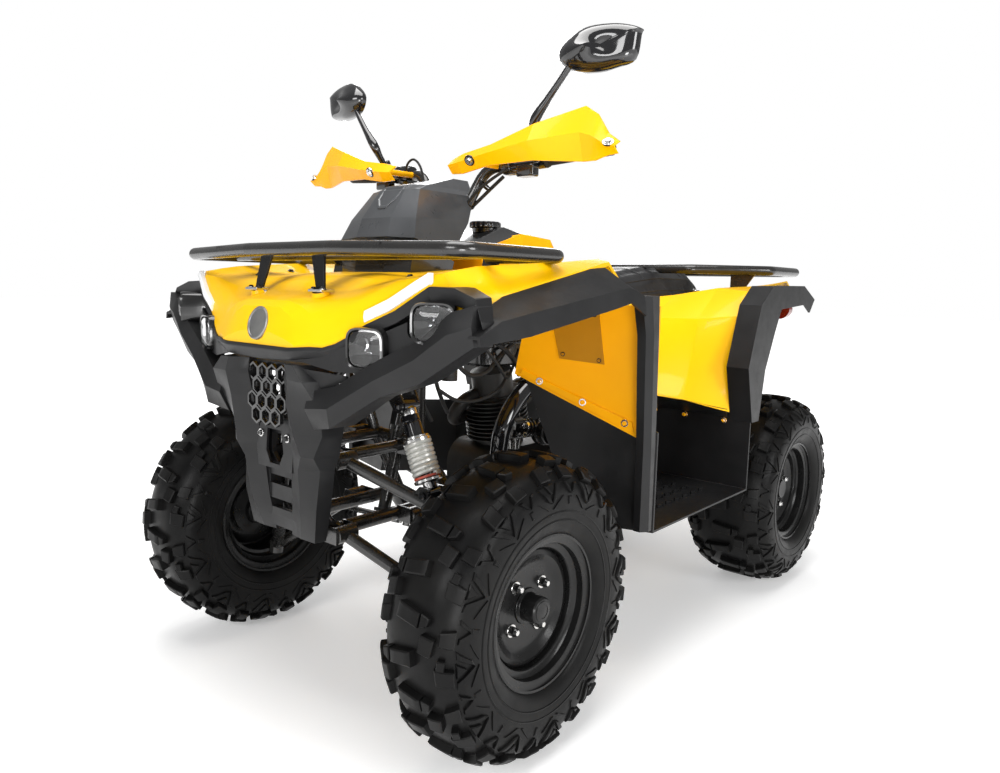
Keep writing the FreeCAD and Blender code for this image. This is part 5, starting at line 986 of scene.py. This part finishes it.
for points, radius, place in bayHoses:
    addTube(bm, points, radius, place, 20 if radius > 0.01 else 10, 7)
for spot, axis in (((0.150, -0.232, 0.6215), (0, -0.8, -0.28)), ((0.131, -0.309, 0.460), (-0.4, 0.35, -0.85))):
    addTurned(bm, [(0.0218, -0.007), (0.0240, -0.007), (0.0240, 0.007), (0.0218, 0.007)], spot, axis, 28, 2)
addRod(bm, (0.112, -0.458, 0.655), (0.112, -0.458, 0.748), 0.0175, 1, 24)
addRod(bm, (0.112, -0.458, 0.748), (0.112, -0.458, 0.756), 0.0190, 2, 24)
makePiece("bay_hoses", bm, "chassis", "glossBlack gripRubber blackSteel", (), 32, 0.0006)

bm = bmesh.new()
addLoft(bm, [squaredRing(Vector((0, -0.190, 0.742)), Vector((1, 0, 0)), Vector((0, 1, 0)), Vector((0, 0, 1)),
                         (0.092, 0.112), share, high, 0.35, 40)
             for high, share in ((-0.072, 0.90), (-0.066, 0.97), (-0.006, 1.0), (-0.004, 1.04), (0.006, 1.04),
                                 (0.008, 1.0), (0.050, 0.94), (0.056, 0.88))])
for y in (-0.262, -0.190, -0.118):
    addBlock(bm, (0.094, y, 0.740), (0.006, 0.014, 0.030), 1)
addTurned(bm, [(0.0, 0.0), (0.033, 0.001), (0.036, 0.006), (0.036, 0.020), (0.033, 0.022), (0.033, 0.040),
               (0.030, 0.044), (0.024, 0.044), (0.022, 0.036), (0.0, 0.034)], (0.122, -0.140, 0.505), (1, -0.15, 0), 40, 0)
for k in range(3):
    addTurned(bm, [(0.020, -0.003), (0.0245 - 0.0006 * k, -0.002), (0.0245 - 0.0006 * k, 0.002), (0.020, 0.003)],
              (0.118, -0.180 - 0.012 * k, 0.516), (0, 1, -0.1), 28, 0)
addRod(bm, (0.118, -0.172, 0.516), (0.118, -0.222, 0.521), 0.0195, 0, 28)
addLoft(bm, [squaredRing(Vector((0.120, -0.240, 0.523)), Vector((1, 0, 0)), Vector((0, 0, 1)), Vector((0, 1, 0)),
                         (0.022, 0.028), share, along, 0.6, 24)
             for along, share in ((-0.024, 0.8), (-0.019, 1.0), (0.014, 1.0), (0.019, 0.8))], 2)
addRod(bm, (0.120, -0.240, 0.545), (0.120, -0.240, 0.578), 0.0125, 0, 22)
addRod(bm, (0.120, -0.240, 0.498), (0.120, -0.240, 0.472), 0.0170, 2, 22, 0.0130)
addTurned(bm, [(0.0195, -0.004), (0.0225, -0.004), (0.0225, 0.004), (0.0195, 0.004)], (0.118, -0.206, 0.519),
          (0, 1, -0.1), 28, 3)
for spot, size in (((0.146, -0.232, 0.531), 0.0045), ((0.146, -0.250, 0.510), 0.0040), ((0.143, -0.226, 0.508), 0.0038)):
    addBolt(bm, spot, (1, -0.3, 0), size, 3)
addRod(bm, (0.133, -0.150, 0.560), (0.133, -0.150, 0.606), 0.0130, 4, 24)
addRod(bm, (0.133, -0.150, 0.606), (0.133, -0.150, 0.612), 0.0142, 3, 24)
makePiece("air_and_fuel", bm, "chassis", "lampBlack blackSteel castAlloy brightSteel canisterTan", (), 32, 0.0006)

engineLow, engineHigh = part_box("engine")
bm = bmesh.new()
for y, z in ((-0.205, 0.330), (-0.150, 0.395), (-0.070, 0.420), (0.010, 0.395), (0.060, 0.330), (0.010, 0.275),
             (-0.070, 0.255), (-0.150, 0.275)):
    for x, way in ((0.16, 1), (-0.16, -1)):
        spot, out = hitOn("engine", (x * 2, y, z), (x * 0.2, y, z))
        if abs(spot.x) > abs(x) * 0.21:
            addBolt(bm, spot, (way, 0, 0), 0.0052, 0)
makePiece("engine_bolts", bm, "chassis", "brightSteel", (), 28)

# Side panels: access plate, bolted flange, heel guard bolts
platePlan = [(552.7, 321.8), (599.0, 310.0), (604.5, 364.6), (559.8, 358.4)]
flangePlan = {"top": [(523, 368), (550, 382), (575, 394), (600, 406), (632, 421)],
              "low": [(521, 374), (550, 389), (575, 402), (600, 415), (634, 432)], "out": 0.0040}
heelPlan = {"fender": [(656, 393.5), (680, 399), (705, 404.5), (727, 409)],
            "wall": [(656, 407), (680, 410), (705, 413), (727, 417)]}
boltPlan = [("arch_panels", 540, 381, 0.0058), ("arch_panels", 583, 402, 0.0058),
            ("arch_panels", 625, 423, 0.0058), ("footwells", 655, 409, 0.0058),
            ("footwells", 685, 414, 0.0058), ("footwells", 724, 420, 0.0058)]
bm = bmesh.new()
rings = [[], [], [], []]
for across, down in platePlan:
    spot, out = seenOn("arch_panels", across, down)
    for ring, (step, inward) in zip(rings, ((-0.002, 0), (0.0026, 0), (0.0036, 0.012), (0.0036, 0.5))):
        middle, middleOut = seenOn("arch_panels", 579, 339)
        ring.append(spot + (middle - spot) * inward + out * step)
addLoft(bm, rings)
for k in range(4):
    corner = rings[2][k] + (rings[2][(k + 2) % 4] - rings[2][k]) * 0.09
    addBolt(bm, corner, seenOn("arch_panels", 579, 339)[1], 0.0036, 1)
mirrorMesh(bm)
makePiece("access_plates", bm, "chassis", "plateYellow blackSteel", (), 24, 0.0008)

bm = bmesh.new()
rings = []
for high, low in zip(flangePlan["top"], flangePlan["low"]):
    spotHigh, out = seenOn("arch_panels", *high)
    spotLow, outLow = seenOn("arch_panels", *low)
    if spotHigh.y > 0.3 or spotLow.y > 0.3:
        continue
    rings.append([spotHigh - out * 0.002, spotHigh + out * 0.0004, spotHigh * 0.85 + spotLow * 0.15
                  + out * flangePlan["out"], spotLow + outLow * flangePlan["out"], spotLow - outLow * 0.002])
if len(rings) > 1:
    addLoft(bm, rings)
for nodeName, across, down, size in boltPlan:
    spot, out = seenOn(nodeName, across, down)
    if spot.y < 0.6:
        addBolt(bm, spot + out * 0.003, out, size, 1)
mirrorMesh(bm)
# the flanges take deepYellow, the arch panels' painted shade
makePiece("side_flanges", bm, "chassis", "deepYellow brightSteel", (), 24, 0.0006)

bm = bmesh.new()
rings = []
for high, low in zip(heelPlan["fender"], heelPlan["wall"]):
    spotHigh, outHigh = seenOn("rear_fender", *high)
    spotLow, outLow = seenOn("footwells", *low)
    if spotHigh.y > 1.0 or spotLow.y > 1.0:
        continue
    rings.append([spotHigh + outHigh * 0.0015, spotLow + outLow * 0.0030, spotLow - outLow * 0.0020,
                  spotHigh - outHigh * 0.0040])
if len(rings) > 1:
    addLoft(bm, rings)
mirrorMesh(bm)
makePiece("heel_strips", bm, "chassis", "blackPlastic", (), 24, 0.0006)

# Footboard: rows of small teeth
treadPlan = {"rows": 7, "teeth": 15, "x": (0.190, 0.420), "y": (-0.140, 0.165), "tooth": (0.0045, 0.013, 0.008)}
bm = bmesh.new()
for row in range(treadPlan["rows"]):
    x = treadPlan["x"][0] + (treadPlan["x"][1] - treadPlan["x"][0]) * row / (treadPlan["rows"] - 1)
    for k in range(treadPlan["teeth"]):
        y = treadPlan["y"][0] + (treadPlan["y"][1] - treadPlan["y"][0]) * k / (treadPlan["teeth"] - 1)
        spot, out = hitOn("footwells", (x, y, 0.55), (x, y, 0.30))
        if out.z < 0.7 or spot.z > 0.40 or spot.z < 0.305:
            continue
        tilt = Matrix.Rotation(0.35 * (1 if (row + k) % 2 else -1), 3, "Z")
        addBlock(bm, spot + Vector((0, 0, treadPlan["tooth"][2] * 0.4)), treadPlan["tooth"], 0, tilt)
mirrorMesh(bm)
makePiece("footboard_teeth", bm, "chassis", "blackPlastic", (), 28)

# Tail lamps: lens ribs; rear rack feet
bm = bmesh.new()
lampLow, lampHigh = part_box("tail_lamps")
for k in range(6):
    z = lampLow.z + (lampHigh.z - lampLow.z) * (0.2 + 0.12 * k)
    addBlock(bm, (lampHigh.x - 0.040, lampHigh.y - 0.0005, z), (0.056, 0.003, 0.0022))
mirrorMesh(bm)
makePiece("tail_lens_ribs", bm, "chassis", "redLens", (), 30)
bm = bmesh.new()
exhaustLow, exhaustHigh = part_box("exhaust")
for x, y in ((0.235, 0.445), (0.250, 0.700), (0.120, 0.640)):
    spot, out = topOf("rear_fender", x, y)
    if spot.z > 0.6:
        addRod(bm, spot - out * 0.002, spot + out * 0.006, 0.014, 1, 24)
        addBolt(bm, spot + out * 0.006, out, 0.0058, 0)
mirrorMesh(bm)
makePiece("rear_bolts", bm, "chassis", "brightSteel blackSteel", (), 28)
print("stage: engine bay and sides")


# Handlebar parts. They ride with the steering.

steeringBody = nodes["handlebar"]["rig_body"]
barLine = {"start": (0.128, -0.333, 1.126), "end": (0.405, -0.304, 1.146)}
barStart = Vector(barLine["start"])
barAlong = (Vector(barLine["end"]) - barStart).normalized()


def onBar(x, back=0.0, up=0.0):
    spot = barStart + barAlong * ((x - barStart.x) / barAlong.x)
    return spot + Vector((0, back, up))


mirrorPlan = {
    "middle": (0.392, -0.338, 1.331), "half": (0.084, 0.0445), "turn": 0.015, "crease": 0.0045,
    "outline": [(-1.0, 0.02), (-0.66, 0.66), (-0.25, 0.97), (0.45, 0.91), (0.98, 0.60), (0.97, 0.38),
                (0.86, -0.62), (0.42, -0.88), (-0.155, -0.99), (-0.79, -0.71)],
    # share of the outline, how far forwards of the glass
    "shell": [(0.93, 0.008), (0.965, 0.0108), (0.99, 0.0100), (1.0, 0.004), (1.0, -0.003), (0.955, -0.011),
              (0.84, -0.0185), (0.64, -0.0245), (0.38, -0.0275), (0.12, -0.0285)],
    "stem": [(0.247, -0.322, 1.146), (0.250, -0.346, 1.176), (0.254, -0.362, 1.203), (0.284, -0.362, 1.240),
             (0.318, -0.358, 1.281), (0.346, -0.354, 1.317)],
}


def mirrorRing(share, back):
    ring = []
    outline = smoothLine([(x, 0, z) for x, z in mirrorPlan["outline"]], 4, True)
    for spot in outline:
        across, up = spot.x, spot.z
        fold = max(0.0, up - across * 0.35 - 0.05) * mirrorPlan["crease"] * (1 if back < -0.005 else 0)
        ring.append(Vector(mirrorPlan["middle"])
                    + Vector((across * mirrorPlan["half"][0] * share, across * mirrorPlan["turn"] + back + fold,
                              up * mirrorPlan["half"][1] * share)))
    return ring


def stemRadius(share):
    return 0.0078 + 0.0042 * math.exp(-((share - 0.42) / 0.16) ** 2) - 0.0012 * share


bm = bmesh.new()
addLoft(bm, [mirrorRing(share, back) for share, back in mirrorPlan["shell"]])
addLoft(bm, [mirrorRing(0.935, 0.0082), mirrorRing(0.935, 0.0091)], 1)
addTube(bm, mirrorPlan["stem"], stemRadius, 0, 16, 6)
neck = Vector(mirrorPlan["stem"][-1])
addTurned(bm, [(0.0, -0.012), (0.008, -0.010), (0.012, -0.002), (0.012, 0.004), (0.0, 0.012)],
          neck, (0.5, 0.3, 0.8), 24)
addRod(bm, onBar(0.238), onBar(0.256), 0.0205, 0, 28)
addRod(bm, onBar(0.247, 0, 0.012), onBar(0.247, -0.012, 0.034), 0.0115, 0, 6)
addBolt(bm, onBar(0.247, -0.020, -0.004), (0, -1, -0.2), 0.0048, 2)
mirrorMesh(bm)
makePiece("mirror_heads", bm, steeringBody, "glossBlack mirrorSilver brightSteel", ["mirrors"], 28)

gripPlan = {"from": 0.257, "length": 0.156, "ribs": 27, "pitch": 0.005}
bm = bmesh.new()
profile = [(0.0, 0.0), (0.0190, 0.0), (0.0195, 0.0015), (0.0190, 0.004), (0.0160, 0.007)]
for k in range(gripPlan["ribs"]):
    s = 0.010 + k * gripPlan["pitch"]
    profile += [(0.0157, s), (0.0168, s + 0.0006), (0.0168, s + 0.0028), (0.0157, s + 0.0034)]
profile += [(0.0165, 0.148), (0.0168, 0.154), (0.0140, 0.156), (0.0, 0.156)]
addTurned(bm, profile, onBar(gripPlan["from"]), barAlong, 28)
mirrorMesh(bm)
makePiece("grip_sleeves", bm, steeringBody, "gripRubber", ["grips"], 40)

leverPlan = {"pivot": (0.181, -0.364, 1.129),
             "line": [(0.178, -0.366, 1.129), (0.205, -0.3675, 1.131), (0.250, -0.364, 1.134),
                      (0.300, -0.357, 1.138), (0.340, -0.3525, 1.141), (0.3635, -0.352, 1.142)]}
blockRings = [(0.0, 0.80), (0.003, 0.93), (0.008, 1.0), (0.024, 1.0), (0.0246, 0.95), (0.0274, 0.95), (0.028, 1.0),
              (0.043, 1.0), (0.048, 0.94), (0.052, 0.80)]
bm = bmesh.new()
side = barAlong.cross(Vector((0, 0, 1))).normalized()
tall = side.cross(barAlong)
addLoft(bm, [squaredRing(onBar(0.149), side, tall, barAlong, (0.0215, 0.0235), share, along, 0.62, 28)
             for along, share in blockRings])
addLoft(bm, [squaredRing(onBar(0.216), side, tall, barAlong, (0.0185, 0.0190), share, along - 0.008, 0.7, 24)
             for along, share in ((0.0, 0.86), (0.003, 1.0), (0.015, 1.0), (0.018, 0.86))])
pivot = Vector(leverPlan["pivot"])
addLoft(bm, [squaredRing(onBar(0.181), Vector((1, 0, 0)), Vector((0, 0, 1)), Vector((0, -1, 0)), (0.013, 0.012),
                         share, along, 0.6, 20) for along, share in ((0.0, 1.0), (0.020, 0.9), (0.030, 0.85))])
addRod(bm, pivot + Vector((0, 0, -0.0105)), pivot + Vector((0, 0, 0.0105)), 0.0095, 0, 24)
addBolt(bm, pivot + Vector((0, 0, 0.0108)), (0, 0, 1), 0.0046, 2)
addRod(bm, onBar(0.190, -0.024, -0.012), onBar(0.246, -0.024, -0.013), 0.0088, 0, 20)
addLoft(bm, [squaredRing(onBar(0.228, -0.026, -0.026), Vector((1, 0, 0)), Vector((0, 1, 0)), Vector((0, 0, 1)),
                         (0.023, 0.015), share, along, 0.45, 24)
             for along, share in ((-0.012, 0.9), (-0.009, 1.0), (0.006, 1.0), (0.0065, 1.06), (0.010, 1.06),
                                  (0.012, 0.95))])
addTube(bm, leverPlan["line"], lambda share: 0.0058 - 0.0012 * math.sin(math.pi * share), 1, 12, 5)
addTurned(bm, [(0.0, -0.007), (0.005, -0.0055), (0.0072, 0.0), (0.005, 0.0055), (0.0, 0.007)],
          leverPlan["line"][-1], barAlong, 20, 1)
for across, high, size, place in ((0.012, 0.011, (0.010, 0.005, 0.006), 3), (0.012, -0.001, (0.012, 0.005, 0.007), 2),
                                  (0.036, 0.010, (0.009, 0.006, 0.006), 4), (0.036, -0.006, (0.010, 0.005, 0.005), 2)):
    addBlock(bm, onBar(0.149 + across, 0.0215, high), size, place)
mirrorMesh(bm)
makePiece("switches_and_levers", bm, steeringBody, "lampBlack blackSteel castAlloy redLens amberPart", ["controls"],
          32, 0.0008)

# Cables clipped along the bar, from the switch blocks and levers down to the column
cablePlan = [
    # points, radius
    ([(0.176, -0.352, 1.116), (0.140, -0.368, 1.092), (0.095, -0.372, 1.062), (0.052, -0.372, 1.020),
      (0.022, -0.368, 0.985)], 0.0034),
    ([(-0.176, -0.352, 1.116), (-0.140, -0.366, 1.096), (-0.092, -0.374, 1.064), (-0.048, -0.372, 1.022),
      (-0.018, -0.368, 0.985)], 0.0034),
    ([(-0.152, -0.345, 1.118), (-0.135, -0.362, 1.146), (-0.108, -0.366, 1.158), (-0.088, -0.362, 1.140),
      (-0.080, -0.356, 1.100), (-0.062, -0.362, 1.055), (-0.030, -0.370, 1.010)], 0.0028),
    ([(-0.146, -0.330, 1.104), (-0.118, -0.338, 1.080), (-0.082, -0.345, 1.050), (-0.045, -0.355, 1.020)], 0.0040),
    ([(0.146, -0.330, 1.104), (0.118, -0.338, 1.080), (0.084, -0.345, 1.052), (0.045, -0.355, 1.020)], 0.0040),
]
bm = bmesh.new()
for points, radius in cablePlan:
    addTube(bm, points, radius, 0, 10, 6)
for x, y, z in ((0.112, -0.352, 1.083), (0.070, -0.362, 1.046)):
    for sign in (1, -1):
        addTurned(bm, [(0.013, -0.003), (0.0165, -0.003), (0.0165, 0.003), (0.013, 0.003)],
                  (sign * x, y, z), (sign * 0.62, 0.2, 0.72), 20, 1)
makePiece("bar_cables", bm, steeringBody, "gripRubber blackSteel", (), 40)

# Ends of the handguards
bm = bmesh.new()
for across, down, size in ((469.5, 160.5, 0.0062), (608.0, 142.0, 0.0058)):
    spot, out = seenOn("handguards", across, down)
    if spot.y > 0.5:
        continue
    addRod(bm, spot - out * 0.002, spot + out * 0.0012, size * 1.9, 1, 28)
    addBolt(bm, spot + out * 0.001, out, size, 0)
mirrorMesh(bm)
makePiece("handguard_bolts", bm, steeringBody, "brightSteel blackSteel", (), 28)

# Raised frame on the pod's front, and its screen
podFrame = {"outer": [(-0.034, 1.070), (-0.031, 1.040), (-0.012, 1.020), (0.012, 1.020), (0.031, 1.040),
                      (0.034, 1.070)], "inset": 0.74, "middle": (0.0, 1.052), "raise": 0.0026}


def onPod(x, z, out):
    spot, normal = hitOn("console_pod", (x, -0.95, z), (x, -0.30, z))
    return spot + normal * out


bm = bmesh.new()
rings = []
for share, out in ((1.0, -0.002), (0.97, podFrame["raise"]), (0.86, podFrame["raise"]), (podFrame["inset"], 0.0004)):
    ring = []
    for x, z in podFrame["outer"]:
        midX, midZ = podFrame["middle"]
        ring.append(onPod(midX + (x - midX) * share, midZ + (z - midZ) * share, out))
    rings.append(ring)
addLoft(bm, rings)
makePiece("pod_frame", bm, nodes["console_pod"]["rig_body"], "silverPlastic", (), 20, 0.0008)
bm = bmesh.new()
spot, out = hitOn("console_pod", (0, -0.05, 1.062), (0, -0.60, 1.062))
across = Vector((1, 0, 0))
rise = out.cross(across).normalized()
if rise.z < 0:
    rise = -rise
for half, low, high, place in (((0.052, 0.026), -0.006, 0.003, 0), ((0.045, 0.020), 0.0025, 0.0038, 1)):
    addLoft(bm, [squaredRing(spot, across, rise, out, half, 1.0, low, 0.4, 32),
                 squaredRing(spot, across, rise, out, half, 0.97, high, 0.4, 32)], place)
for x in (-0.030, 0.030):
    addRod(bm, spot + across * x - rise * 0.034 - out * 0.002, spot + across * x - rise * 0.034 + out * 0.004,
           0.005, 0, 20)
makePiece("pod_screen", bm, nodes["console_pod"]["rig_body"], "lampBlack glossBlack", (), 30)

# Fuel cap with finger grooves
capPlan = {"middle": (0.0, -0.225), "low": 0.992, "high": 1.0180, "radius": 0.0385, "lobes": 12}
bm = bmesh.new()
rings = []
for share, z in ((0.80, capPlan["low"]), (0.84, capPlan["low"] + 0.010), (0.98, capPlan["low"] + 0.012),
                 (1.0, capPlan["low"] + 0.014), (1.0, capPlan["high"] - 0.004), (0.94, capPlan["high"]),
                 (0.60, capPlan["high"]), (0.55, capPlan["high"] - 0.0016), (0.10, capPlan["high"] - 0.0016)):
    ring = []
    for k in range(capPlan["lobes"] * 8):
        turn = math.tau * k / (capPlan["lobes"] * 8)
        wave = 1 - (0.06 * max(0.0, math.cos(turn * capPlan["lobes"])) if 0.9 < share <= 1.0 else 0)
        size = capPlan["radius"] * share * wave
        ring.append(Vector((math.cos(turn) * size, capPlan["middle"][1] + math.sin(turn) * size, z)))
    rings.append(ring)
addLoft(bm, rings)
makePiece("fuel_cap_lobes", bm, "chassis", "lampBlack", ["fuel_cap"], 34)
print("stage: handlebar parts")


# Seat: a padded vinyl cover blown out a little by a cloth run, then its seams

seatPlan = {"voxel": 0.006, "pressure": 4.0, "frames": 20, "cap": 0.007, "inset": 0.0045, "hold": 0.012,
            "seam": 0.0016}
seatLow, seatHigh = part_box("seat")
bm = bmesh.new()
bm.from_mesh(nodes["seat"].data)
bmesh.ops.remove_doubles(bm, verts=bm.verts, dist=0.00005)
seatMiddle = (seatLow + seatHigh) / 2
seatSize = seatHigh - seatLow
for vert in bm.verts:
    for axis in range(3):
        shrink = 1 - 2 * seatPlan["inset"] / seatSize[axis]
        vert.co[axis] = seatMiddle[axis] + (vert.co[axis] - seatMiddle[axis]) * shrink
seat = makePiece("seat_cover", bm, "chassis", "seatVinyl", ["seat"], 60)


def applyModifiers(piece):
    graph = bpy.context.evaluated_depsgraph_get()
    mesh = bpy.data.meshes.new_from_object(piece.evaluated_get(graph))
    piece.modifiers.clear()
    piece.data = mesh


remesh = seat.modifiers.new("voxels", "REMESH")
remesh.mode = "VOXEL"
remesh.voxel_size = seatPlan["voxel"]
remesh.use_smooth_shade = True
applyModifiers(seat)
bm = bmesh.new()
bm.from_mesh(seat.data)
for k in range(6):
    bmesh.ops.smooth_vert(bm, verts=bm.verts, factor=0.5, use_axis_x=True, use_axis_y=True, use_axis_z=True)
bm.to_mesh(seat.data)
bm.free()
before = [vert.co.copy() for vert in seat.data.vertices]
held = seat.vertex_groups.new(name="held")
held.add([v.index for v in seat.data.vertices if v.co.z < seatLow.z + seatPlan["hold"]], 1.0, "REPLACE")
cloth = seat.modifiers.new("cover", "CLOTH")
cloth.settings.use_pressure = True
cloth.settings.uniform_pressure_force = seatPlan["pressure"]
cloth.settings.effector_weights.gravity = 0
cloth.settings.vertex_group_mass = "held"
cloth.settings.quality = 5
cloth.point_cache.frame_start = 1
cloth.point_cache.frame_end = seatPlan["frames"]
for step in range(1, seatPlan["frames"] + 1):
    bpy.context.scene.frame_set(step)
applyModifiers(seat)
bpy.context.scene.frame_set(1)
for vert, start in zip(seat.data.vertices, before):
    move = vert.co - start
    if move.length > seatPlan["cap"]:
        vert.co = start + move.normalized() * seatPlan["cap"]
smoothSeat = seat.modifiers.new("smooth", "SUBSURF")
smoothSeat.levels = 1
smoothSeat.render_levels = 1
applyModifiers(seat)
for face in seat.data.polygons:
    face.use_smooth = True

seatSurface = BVHTree.FromPolygons([v.co.copy() for v in seat.data.vertices],
                                   [tuple(p.vertices) for p in seat.data.polygons])


def onSeat(start, aim):
    start = Vector(start)
    reach = Vector(aim) - start
    spot, normal, face, distance = seatSurface.ray_cast(start, reach.normalized(), reach.length)
    return (spot, normal) if spot else None


seamPlan = {
    # across the top from side to side at a depth, and along each side at a share of the width
    "cross": [0.115, 0.320, 0.545], "along": [0.72], "side": [0.845],
}
bm = bmesh.new()
for y in seamPlan["cross"]:
    points = []
    for k in range(19):
        x = 0.118 * (2 * k / 18 - 1)
        hit = onSeat((x, y + 0.03 * abs(x) / 0.118, 1.1), (x, y + 0.03 * abs(x) / 0.118, 0.8))
        if hit:
            points.append(hit[0] + hit[1] * 0.0003)
    if len(points) > 3:
        addTube(bm, points, seatPlan["seam"], 0, 8, 2)
for sign in (1, -1):
    for height in (0.60, 0.80):
        points = []
        for k in range(30):
            y = -0.060 + 0.740 * k / 29
            top = onSeat((0, y, 1.1), (0, y, 0.7))
            if not top:
                continue
            z = seatLow.z + (top[0].z - seatLow.z) * height
            hit = onSeat((sign * 0.3, y, z), (0, y, z))
            if hit:
                points.append(hit[0] + hit[1] * 0.0003)
        if len(points) > 3:
            addTube(bm, points, seatPlan["seam"], 0, 8, 2)
makePiece("seat_seams", bm, "chassis", "seatVinyl", (), 40)
print("stage: seat")


# Floor, light and camera

stageSizes = {"floorSize": 60.0, "nearGlow": 0.30, "glowFrom": 1.3, "glowTo": 3.6}
floorLook = dict(dark=(0.87, 0.87, 0.87), light=(0.90, 0.90, 0.90), rough=(0.7, 0.8), grainScale=60,
                 grainStrength=0.02, grainDepth=0.0002, cloudScale=0.5)


def floorFinish(name, look):
    material = finish(name, look)
    tree = material.node_tree
    shader = tree.nodes["Principled BSDF"]
    coords = addNode(tree, "ShaderNodeTexCoord").outputs["Object"]
    distance = addNode(tree, "ShaderNodeVectorMath", operation="LENGTH")
    tree.links.new(coords, distance.inputs[0])
    glow = ranged(tree, distance.outputs["Value"], stageSizes["nearGlow"], 1.0, stageSizes["glowFrom"],
                  stageSizes["glowTo"])
    shader.inputs["Emission Color"].default_value = (1, 1, 1, 1)
    tree.links.new(glow, shader.inputs["Emission Strength"])
    return material


bm = bmesh.new()
bmesh.ops.create_grid(bm, x_segments=1, y_segments=1, size=stageSizes["floorSize"] / 2)
floorMesh = bpy.data.meshes.new("floor")
bm.to_mesh(floorMesh)
bm.free()
floor = bpy.data.objects.new("floor", floorMesh)
bpy.context.scene.collection.objects.link(floor)
floorMesh.materials.append(floorFinish("floorPale", floorLook))

lamps = {
    # name: place, aim, size, power, colour
    "overhead": ((0.2, -0.5, 3.4), (0, 0, 0.6), (2.4, 2.2), 96, (1, 0.99, 0.98)),
    "frontSoft": ((0.6, -4.0, 2.0), (0, -0.2, 0.7), (2.0, 1.0), 60, (1, 1, 1)),
    "leftSoft": ((4.0, -0.4, 1.7), (0, 0, 0.6), (1.5, 1.3), 64, (1, 1, 1)),
    "lowSoft": ((2.4, -2.2, 0.5), (0.3, 0, 0.6), (0.9, 0.6), 26, (1, 1, 1)),
    "backRim": ((-2.6, 2.8, 2.4), (0, 0, 0.7), (2.4, 1.6), 60, (1, 1, 1)),
}
for lampName, (place, aim, size, power, colour) in lamps.items():
    light = bpy.data.lights.new(lampName, "AREA")
    light.shape = "RECTANGLE"
    light.size, light.size_y = size
    light.energy = power
    light.color = colour
    holder = bpy.data.objects.new(lampName, light)
    bpy.context.scene.collection.objects.link(holder)
    holder.location = place
    holder.rotation_euler = (Vector(aim) - Vector(place)).to_track_quat("-Z", "Y").to_euler()

# White backdrop for the camera, a dimmer room round the machine for light and reflections
roomLight = {"seen": 1.0, "round": 0.34}
world = bpy.data.worlds.new("studio")
bpy.context.scene.world = world
world.use_nodes = True
worldTree = world.node_tree
background = worldTree.nodes["Background"]
background.inputs["Color"].default_value = (1, 1, 1, 1)
rayKind = addNode(worldTree, "ShaderNodeLightPath").outputs["Is Camera Ray"]
worldTree.links.new(ranged(worldTree, rayKind, roomLight["round"], roomLight["seen"], 0, 1),
                    background.inputs["Strength"])

cameraData = bpy.data.cameras.new("camera")
cameraData.sensor_width = cameraSizes["sensor"]
cameraData.lens = cameraSizes["lens"]
camera = bpy.data.objects.new("camera", cameraData)
bpy.context.scene.collection.objects.link(camera)
cameraAxes = Matrix((cameraRight, cameraUp, cameraBack)).transposed().to_4x4()
camera.matrix_world = Matrix.Translation(cameraSizes["place"]) @ cameraAxes
bpy.context.scene.camera = camera
bpy.context.scene.view_settings.view_transform = "Standard"
print("stage: floor, light and camera set")
